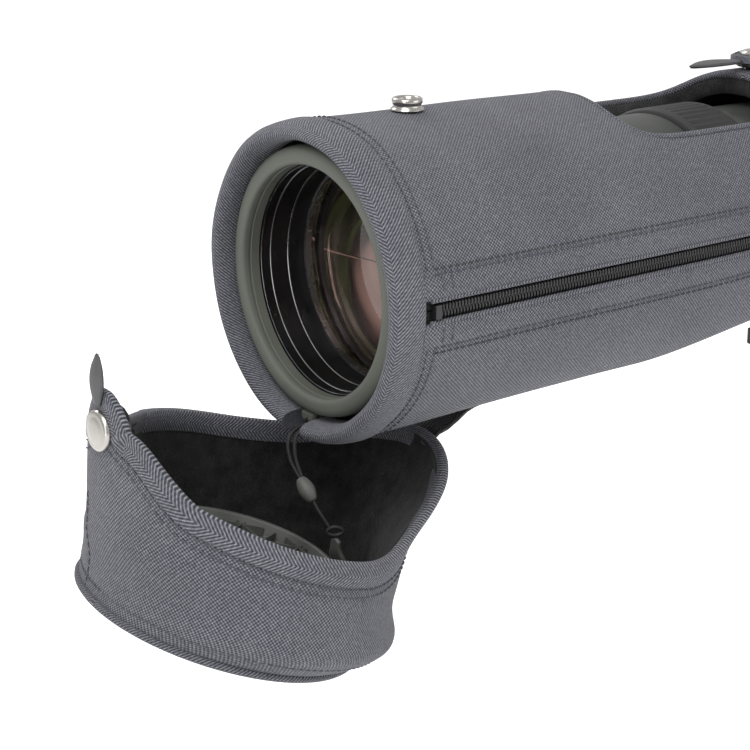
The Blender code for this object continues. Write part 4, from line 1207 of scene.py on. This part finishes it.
def build_tether():
    """The lens cap's cord: a loop through the ring's lug, both strands into a bead, then down."""
    places = [at_mm(place) for place in (*CORD_TOP, *BEAD, *CORD_BOTTOM)]
    path = smooth_route(places, 0.8 * MM)
    cord = tube_object("tether_cord", path, CORD_R, LOOK["cord"], 12)
    length = sum((b - a).length for a, b in zip(path, path[1:]))
    top, bottom = path[0], path[-1]
    strand = []
    upper = smooth_route([at_mm(place) for place in (*CORD_TOP, BEAD[0])], 0.8 * MM)
    for i, point in enumerate(upper):
        share = i / (len(upper) - 1)
        apart = (0.7 + 2.0 * math.sin(math.pi * share) ** 0.8) * MM
        strand.append(point + Vector((0.55, -0.75, -0.1)).normalized() * apart)
    second = tube_object("tether_second_strand", strand, CORD_R, LOOK["cord"], 12)
    loop = []
    eye = at(5.2 * MM, 5 * MM, -56 * MM)
    for i in range(33):
        turn = 2 * math.pi * i / 32
        loop.append(eye + Vector((2.6 * MM * math.cos(turn), 0.7 * MM * math.sin(2 * turn),
                                  2.6 * MM * math.sin(turn))))
    knot = tube_object("tether_lug_loop", loop[:-1], CORD_R, LOOK["cord"], 10, closed=True)
    start, end = map(at_mm, BEAD)
    reach = (end - start).length
    shape = [(-0.3 * MM, 1.0 * MM), (0.0, 1.7 * MM), (0.06 * reach, 2.1 * MM), (0.2 * reach, 2.7 * MM),
             (0.38 * reach, 3.2 * MM), (0.5 * reach, 3.3 * MM), (0.62 * reach, 3.2 * MM),
             (0.8 * reach, 2.7 * MM), (0.94 * reach, 2.1 * MM), (reach, 1.7 * MM),
             (reach + 0.3 * MM, 1.0 * MM)]
    bead = lathe_object("tether_bead_barrel", shape, start, end - start, LOOK["cap"], 32)
    tail_loop = []
    centre = bottom + Vector((1.2, -1.6, -0.8)) * MM
    for i in range(32):
        turn = 2 * math.pi * i / 32
        tail_loop.append(centre + Vector((2.6 * MM * math.cos(turn), -1.6 * MM * math.cos(turn),
                                          1.7 * MM * math.sin(turn))))
    tail = tube_object("tether_cap_loop", tail_loop, CORD_R, LOOK["cord"], 10, closed=True)
    extras = (second, knot, bead, tail)
    for piece in (cord, *extras):
        place(piece, None, "cap_plastic" if piece is bead else "tether_cord")
        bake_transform(piece)
        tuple(top)
        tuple(bottom)
    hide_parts("tether_upper", "tether_lower")
    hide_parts("tether_bead")
    tuple(path[0])
    [tuple(p) for p in path]


def cap_matrix():
    origin = OPENED @ at(*CAP_CENTRE)
    along = OPENED.to_3x3() @ Vector(CAP_DIRECTION)
    return row_matrix(origin, along, (0, 1, 0))


def build_lens_cap():
    """The push-on cap lying in the cover, its inside up: a skirt and a lattice of thin ribs."""
    place_cap = cap_matrix()
    profile = [(0.0, 0.3 * MM), (0.0, CAP_R - 1.6 * MM), (0.5 * MM, CAP_R - 0.5 * MM), (1.6 * MM, CAP_R),
               (CAP_DEPTH - 0.4 * MM, CAP_R), (CAP_DEPTH, CAP_R - 0.5 * MM),
               (CAP_DEPTH, CAP_R - 1.9 * MM), (CAP_DEPTH - 0.5 * MM, CAP_R - 2.4 * MM),
               (2.9 * MM, CAP_R - 2.4 * MM), (2.4 * MM, CAP_R - 2.9 * MM), (2.4 * MM, 0.3 * MM)]
    origin = place_cap.translation
    along = place_cap.to_3x3() @ Vector((1, 0, 0))
    body = lathe_object("lens_cap_body", profile, origin, along, LOOK["cap"], 96)
    bm = bmesh.new()
    inside = CAP_R - 2.6 * MM
    pitch = 13 * MM
    for turn in (0, 60, 120):
        direction = Vector((0, math.cos(math.radians(turn)), math.sin(math.radians(turn))))
        normal = Vector((0, -direction.z, direction.y))
        for k in range(-3, 4):
            off = k * pitch
            half = math.sqrt(max(0, inside ** 2 - off ** 2))
            if half > 4 * MM:
                add_rib(bm, place_cap, normal * off - direction * half,
                        normal * off + direction * half, normal)
    ribs = finish_object("lens_cap_ribs", bm, LOOK["cap"], weld=False)
    place(body, "objective_cover", "cap_plastic", "lens_cap")
    place(ribs, "objective_cover", "cap_plastic")
    build_cap_lug()


def add_rib(bm, matrix, a, b, normal):
    """A thin rib standing on the cap's inner face."""
    low, high, wide = 2.2 * MM, 6.2 * MM, 0.45 * MM
    corners = []
    for end in (a, b):
        for rise, side in ((low, -1), (low, 1), (high, 0.7), (high, -0.7)):
            corners.append(bm.verts.new(matrix @ (end + Vector((rise, 0, 0)) + normal * side * wide)))
    for i in range(4):
        j = (i + 1) % 4
        bm.faces.new((corners[i], corners[j], corners[4 + j], corners[4 + i]))
    bm.faces.new(corners[:4])
    bm.faces.new(corners[4:])


def build_cap_lug():
    """The flexible tab on the cap's rim that holds the cord's lower loop."""
    low, high = (OPENED @ at(*p) for p in CAP_LUG)
    across = Vector((0, 1, 0))
    rise = (high - low).normalized()
    length = (high - low).length + 2 * MM
    rows = []
    for share in between(0, 1, 14):
        half = mix(5 * MM, 2.4 * MM, ease(share * 1.3)) * math.sqrt(
            max(0.02, 1 - max(0, (share - 0.86) / 0.14) ** 2))
        bend = 0.8 * MM * math.sin(math.pi * share)
        out = rise.cross(across).normalized()
        rows.append([low + rise * length * share + across * half * k + out * bend
                     for k in between(-1, 1, 6)])
    lug = grid_object("cap_lug_tab", rows, LOOK["cap"])
    lug.modifiers.new("thickness", "SOLIDIFY").thickness = 1.6 * MM
    settle(lug)
    place(lug, "objective_cover", "cap_plastic", "cap_lug")


# ---- the telescope ---------------------------------------------------------------------------
def turned(name, profile, look, body, slot, *nodes, segments=128):
    made = lathe_object(name, [(s * MM, r * MM) for s, r in profile], at(0, 0, 0), (1, 0, 0),
                        LOOK[look], segments)
    return place(made, body, slot, *nodes)


def closed_profile(points):
    return [*points, points[0]]


def build_objective():
    ring = [(1.2, 44.8), (0.5, 45.3), (0.1, 46.2), (0, 47.2), (0, 48.9), (0.25, 50.0),
            (0.9, 51.1), (1.9, 51.7), (3.2, 52), (16, 52), (16, 47.8), (8, 47.8), (8, 44.8),
            (4.4, 44.8), (4.1, 45.2), (3.5, 45.2), (3.2, 44.8)]
    turned("hood_ring_rubber", closed_profile(ring), "ring", ROOT, "scope_rubber", "hood_ring")
    cell = [(8.3, 47.4), (8.3, 44.2), (12.7, 44.2), (13.1, 43.7), (20.7, 43.7), (21.1, 43.2),
            (26.7, 43.2), (27.1, 42.9), (40, 42.9), (40, 47.4)]
    turned("lens_cell_steps", closed_profile(cell), "black", ROOT, "black_metal", "lens_cell")
    for name, s, r in (("cell_edge_one", 12.9, 44.1), ("cell_edge_two", 20.9, 43.6),
                       ("cell_edge_three", 8.6, 44.3)):
        lip = [(s - 0.16, r), (s, r - 0.18), (s + 0.16, r), (s, r + 0.1)]
        turned(name, closed_profile(lip), "edge", ROOT, "black_metal")
    lens = [(28.2 + 3.6 * (r / 42.5) ** 2, r) for r in between(0.02, 42.5, 24)]
    lens += [(36, 42.5)] + [(37.6 - 1.4 * (r / 42.5) ** 2, r) for r in between(41, 0.02, 12)]
    turned("objective_front_lens", lens, "lens", ROOT, "lens_glass", "objective_lens")
    retaining = [(28.2, 41.4), (28.2, 42.6), (31.4, 42.6), (31.4, 41.8)]
    turned("lens_ring_thread", closed_profile(retaining), "edge", ROOT, "black_metal",
           "lens_retaining_ring")
    inner = [(41.5 + 3.0 * (1 - (r / 41.0) ** 2), r) for r in between(0.02, 41.0, 20)]
    inner += [(47, 41.0), (47, 0.02)]
    made = lathe_object("objective_inner_lens", [(s * MM, r * MM) for s, r in inner], at(0, 0, 0),
                        (1, 0, 0), LOOK["inner"], 128)
    # Turn and radius as UVs, which place the inner lens's painted reflections.
    layer = made.data.uv_layers["weave"]
    for loop in made.data.loops:
        point = made.data.vertices[loop.vertex_index].co - at(0, 0, 0)
        turn = math.atan2(point.z, point.y) / (2 * math.pi) % 1
        layer.data[loop.index].uv = (turn, math.hypot(point.y, point.z) * 10)
    place(made, ROOT, "lens_glass")
    for s, r in ((50, 40), (56, 38.5), (62, 37)):
        baffle = [(s, r), (s, 42), (s + 0.8, 42), (s + 0.8, r + 0.4)]
        turned("baffle_" + str(s), closed_profile(baffle), "black", ROOT, "black_metal",
               segments=96)


def build_barrel():
    barrel = [(70.3, 47), (70.3, 51.4), (70.9, 52), (86, 51), (92, 50.2), (106, 46.2), (112, 45.2),
              (114, 45), (177.4, 45), (178, 44.4), (178, 41), (90, 41)]
    turned("main_barrel_armour", closed_profile(barrel), "armour", ROOT, "scope_armour",
           "main_barrel")
    housing = [(214.3, 36), (214.3, 41), (216, 42.4), (218, 43), (300, 42.5), (308, 41.8),
               (325, 37.5), (332, 36), (332, 29), (326, 29), (318, 36)]
    turned("prism_housing_armour", closed_profile(housing), "armour", ROOT, "scope_armour",
           "prism_housing")
    ribbed_ring("focus_ring_grip", (180, 207.5), 42, 46.8, 72, "focus_ring_body", "focus_ring")
    ribbed_ring("zoom_ring_grip", (345, 372), 26.6, 30.8, 44, "zoom_ring_body", "zoom_ring")


def ribbed_ring(name, span, inner, outer, ribs, body, node):
    """A rubber grip ring with soft ribs between plain edges."""
    start, end = span
    steps = ribs * 6
    stations = [(start, inner, 0), (start, outer - 1.2, 0), (start + 1.2, outer, 0),
                (start + 2.6, outer, 0), (start + 3.2, outer, 1), (end - 3.2, outer, 1),
                (end - 2.6, outer, 0), (end - 1.2, outer, 0), (end, outer - 1.2, 0),
                (end, inner, 0), (start, inner, 0)]
    rows = []
    for s, r, rib in stations:
        row = []
        for k in range(steps):
            turn = 2 * math.pi * k / steps
            dip = 0.75 * rib * (0.5 - 0.5 * math.cos(turn * ribs)) ** 1.5
            row.append(at(s * MM, (r - dip) * MM * math.cos(turn), (r - dip) * MM * math.sin(turn)))
        rows.append(row)
    made = grid_object(name, rows, LOOK["rubber"], closed=True)
    place(made, body, "scope_rubber", node)


# ---- snaps, studs and tabs -------------------------------------------------------------------
def build_studs():
    """Snap studs: a flange, a waisted ring and a low pin inside it."""
    for end, s, radius, height in (("front", STUD_S, 6.0, 5.0), ("rear", REAR_STUD_S, 4.5, 3.0)):
        shape = [(0.3, 0.02), (0.3, radius * 1.05), (height * 0.1, radius * 1.08),
                 (height * 0.2, radius * 1.05), (height * 0.26, radius * 0.96),
                 (height * 0.4, radius * 0.91), (height * 0.52, radius * 0.93),
                 (height * 0.6, radius * 0.99), (height * 0.9, radius * 0.99),
                 (height, radius * 0.9), (height, radius * 0.72), (height * 0.92, radius * 0.64),
                 (height * 0.4, radius * 0.6), (height * 0.36, radius * 0.3),
                 (height * 0.5, radius * 0.2), (height * 0.54, 0.02)]
        made = lathe_object(end + "_stud_post", [(t * MM, r * MM) for t, r in shape],
                            on_sleeve(s, 0), (0, 0, 1), LOOK["nickel"], 64)
        place(made, ROOT, "nickel", end + "_snap_stud")


def tongue_axes():
    """The open tongue's direction towards its tip, and its outward one."""
    turned_open = OPENED.to_3x3()
    return (turned_open @ Vector((math.cos(TONGUE_SLOPE), 0, math.sin(TONGUE_SLOPE))),
            turned_open @ Vector((-math.sin(TONGUE_SLOPE), 0, math.cos(TONGUE_SLOPE))))


def build_tabs():
    """Leather leaves beyond each snap, slightly curled."""
    ahead, up = tongue_axes()
    low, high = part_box("front_pull_tab")
    root = Vector(((low[0] + high[0]) / 2, 0, low[2])) + ahead * 1.2 * MM + up * 1.5 * MM
    leaf("front_tab_leather", root, ahead, up, 18.6 * MM, 4.2 * MM, "cover_pull_tab",
         "front_pull_tab")
    build_snap_dome(up)
    low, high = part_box("rear_pull_tab")
    root = Vector((high[0], 0, (low[2] + high[2]) / 2))
    leaf("rear_tab_leather", root, Vector((-1, 0, 0)), Vector((0, 0, 1)), 29 * MM, 5.6 * MM,
         "eyepiece_pull_tab", "rear_pull_tab")


def build_snap_dome(up):
    """The tongue's snap cap with a shallow groove inside its rim."""
    low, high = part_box("tongue_snap_cap")
    middle = (Vector(low) + Vector(high)) / 2
    shape = [(-1.0, 0.02), (-1.0, 7.4), (0.2, 7.7), (1.2, 7.6), (1.9, 7.0), (2.2, 6.4), (2.1, 5.6),
             (2.4, 4.8), (2.6, 2.6), (2.7, 0.02)]
    made = lathe_object("tongue_snap_dome", [(t * MM, r * MM) for t, r in shape], middle, up,
                        LOOK["nickel"], 64)
    place(made, "cover_tongue", "nickel", "tongue_snap_cap")


def leaf(name, root, ahead, up, length, half_width, body, node):
    side = up.cross(ahead)
    rows = []
    for share in between(0, 1, 24):
        half = half_width * (0.45 + 0.55 * math.sin(math.pi * min(1, share * 1.1)))
        half *= math.sqrt(max(0.004, 1 - max(0, (share - 0.72) / 0.28) ** 2))
        curl = 0.5 * MM * math.sin(math.pi * share)
        rows.append([root + ahead * length * share + side * half * k
                     + up * (curl - 0.3 * MM * k * k + 0.35 * MM) for k in between(-1, 1, 10)])
    made = grid_object(name, rows, LOOK["leather"])
    solid = made.modifiers.new("thickness", "SOLIDIFY")
    solid.thickness = 1.2 * MM
    solid.offset = 0
    settle(made)
    place(made, body, "tab_leather", node)


# ---- the rear hood ---------------------------------------------------------------------------
HOOD_GAP = 2.4 * MM
HOOD_END = 425 * MM
REAR = "eyepiece_cover"


def rear_mouth_s(angle):
    return 319.5 * MM - 27.5 * MM * math.cos(math.radians(angle))


def rear_surface(u, s, proud):
    """The rear hood, u metres round: it follows the sleeve's end, then rounds off."""
    angle = math.degrees(u / SLEEVE_R)
    turn = math.radians(angle)
    reach = HOOD_GAP + FABRIC + LINING + GAP + proud
    if proud > -1 * MM:
        reach += 0.8 * MM * noise.noise(Vector((u * 30, s * 24, 6.6)))
        reach -= 0.5 * MM * bump_at(s - rear_mouth_s(angle) - 9 * MM, 1.2 * MM)
    section = min(s, SLEEVE_END)
    round_off = 7 * MM * max(0.0, (s - (HOOD_END - 16 * MM)) / (16 * MM)) ** 2
    height = top_height(section) if math.cos(turn) > 0 else belly_depth(section)
    return at(s, -(half_width(section) + reach - round_off) * math.sin(turn),
              (height + reach - round_off) * math.cos(turn))


def build_rear_hood():
    us = between(0, 2 * math.pi * SLEEVE_R, 160)[:-1]

    def row(share, inset, end):
        return lambda u: mix(rear_mouth_s(math.degrees(u / SLEEVE_R)) + inset, end, share)
    wall_rows = [row(i / 30, 5 * MM, HOOD_END) for i in range(31)]
    wall = shell("rear_hood_cloth", rear_surface, us, wall_rows, FABRIC, LOOK["fabric"], closed=True)
    place(wall, REAR, "grey_fabric", "rear_hood_wall", padded=0.4)

    def lined(u, s, proud):
        return rear_surface(u, s, proud - FABRIC - 0.6 * MM)
    lining_rows = [row(i / 12, 7 * MM, HOOD_END - 6 * MM) for i in range(13)]
    lining = shell("rear_hood_fleece", lined, us[::2], lining_rows, 0.7 * MM, LOOK["fleece"],
                   closed=True)
    place(lining, REAR, "black_lining", "rear_hood_lining", padded=0.2)
    build_rear_hem(us)
    build_rear_end()
    build_rear_tongue()
    for name, inset in (("rear_hem_seam_one", 8.6 * MM), ("rear_hem_seam_two", 11.4 * MM)):
        line = [(u, rear_mouth_s(math.degrees(u / SLEEVE_R)) + inset) for u in us]
        seam_on(name, rear_surface, line, REAR)


def build_rear_hem(us):
    profile = ((7.8, -0.2), (7.4, 0.7), (4.5, 1.1), (2.0, 0.9), (0.4, 0.1), (0.0, -1.3),
               (0.6, -2.8), (3.0, -3.3), (7.0, -3.3))
    rows = []
    for inset, lift in profile:
        rows.append([rear_surface(u, rear_mouth_s(math.degrees(u / SLEEVE_R)) + inset * MM,
                                  lift * MM) for u in us])
    rows.append(rows[0])
    bm = bmesh.new()
    full = us + [2 * math.pi * SLEEVE_R]
    add_grid(bm, rows, lambda j, i: (full[i], (profile[j][0] if j < 9 else 7.8) * MM), closed=True)
    hem = finish_object("rear_hood_hem_band", bm, LOOK["hem"])
    place(hem, REAR, "grey_fabric", "rear_hood_hem", padded=0.5)


def build_rear_end():
    """The rear hood's crowned end with its corded seam."""
    rows = []
    shares = (1.0, 0.97, 0.9, 0.75, 0.55, 0.3, 0.02)
    for back in (False, True):
        for share in (shares if not back else shares[::-1]):
            ring = []
            for i in range(96):
                edge = rear_surface(math.radians(3.75 * i) * SLEEVE_R, HOOD_END, 0)
                s = HOOD_END + 2.2 * MM + 1.6 * MM * (1 - share ** 2) - (FABRIC if back else 0)
                s -= 1.6 * MM * share ** 20
                ring.append(at(s, 0, 0).lerp(Vector((at(s, 0, 0).x, edge.y, edge.z)), share))
            rows.append(ring)
    end = grid_object("rear_hood_end_cloth", rows, LOOK["fabric"], closed=True,
                      uvs=lambda j, i: (rows[j][i % 96].y, rows[j][i % 96].z))
    place(end, REAR, "grey_fabric", "rear_hood_end", padded=0.4)
    path = [rear_surface(math.radians(2.25 * i) * SLEEVE_R, HOOD_END, 0.3 * MM) for i in range(160)]
    piping = tube_object("rear_hood_end_seam", path, 1.4 * MM, LOOK["bead_hem"], 10, closed=True)
    place(piping, REAR, "grey_fabric", padded=0.5)


def rear_tongue_point(along, across, proud):
    """The rear tongue: along 0 at its tip to 1 at its root, across in metres."""
    share = along
    s = mix(229 * MM, 291 * MM, share)
    low = BRIDGE_TOP + 3.6 * MM
    height = low + 2.8 * MM + 0.9 * MM * ease((share - 0.6) / 0.4)
    half = mix(13 * MM, 21 * MM, share) * math.sqrt(min(1, 1 - max(0, 0.28 - share) ** 2 / 0.08))
    y = across * half
    return at(s, y, height - 0.0022 * share * across * across + proud)


def build_rear_tongue():
    bm = bmesh.new()
    shares = [0.004, 0.02, 0.05, 0.1, 0.16, 0.22, 0.28] + between(0.34, 1.06, 12)
    sides = []
    for proud in (0.2 * MM, -2.5 * MM):
        rows = []
        for share in shares:
            rows.append([rear_tongue_point(share, k, proud - 0.8 * MM * abs(k) ** 8 * (proud > 0))
                         for k in between(-1, 1, 24)])
        sides.append(add_grid(bm, rows, lambda j, i: ((i - 12) * 1.5 * MM, shares[j] * 62 * MM)))
    outer, inner = sides
    rims = [list(zip(outer[j], inner[j])) for j in (0, -1)]
    rims += [[(a[i], b[i]) for a, b in zip(outer, inner)] for i in (0, -1)]
    for rim in rims:
        for (a, b), (c, d) in zip(rim, rim[1:]):
            bm.faces.new((a, c, d, b))
    tongue = finish_object("rear_tongue_cloth", bm, LOOK["fabric"])
    place(tongue, REAR, "grey_fabric", "rear_tongue", padded=0.4)
    for name, across in (("rear_tongue_seam_left", -0.72), ("rear_tongue_seam_right", 0.72)):
        path = resample([rear_tongue_point(x, across, 0.3 * MM) for x in between(0.08, 1, 60)], STITCH)
        made = stitch_row(name, path, [Vector((0, 0, 1))] * len(path))
        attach(made, REAR)


# ---- finishes for the hard parts that keep their shape ---------------------------------------
KEPT = {
    "rear_snap_cap": "nickel", "zip_slider": "nickel",
    "zip_pull": "nickel", "front_stud_washer": "nickel", "rear_stud_washer": "nickel",
    "tongue_snap_socket": "dark_snap", "rear_snap_socket": "dark_snap", "cord_lug": "ring",
    "zip_front_stop": "coil", "zip_rear_stop": "coil", "hood_tube": "armour",
    "foot_neck": "armour", "tripod_foot": "black", "focus_track": "black",
    "eyepiece_barrel": "black", "eyecup": "rubber", "eye_lens": "lens",
    "focusing_lens": "lens", "prism_block": "lens",
}


def finish_kept_parts():
    for node, look in KEPT.items():
        obj = bpy.data.objects[node]
        for material_slot in obj.material_slots:
            material_slot.material = LOOK[look]


def main():
    make_materials()
    add_camera()
    build_tether()
    add_studio()
    build_sleeve()
    build_zip()
    build_cover()
    build_strap()
    build_lens_cap()
    build_objective()
    build_barrel()
    build_studs()
    build_tabs()
    build_rear_hood()
    finish_kept_parts()


main()
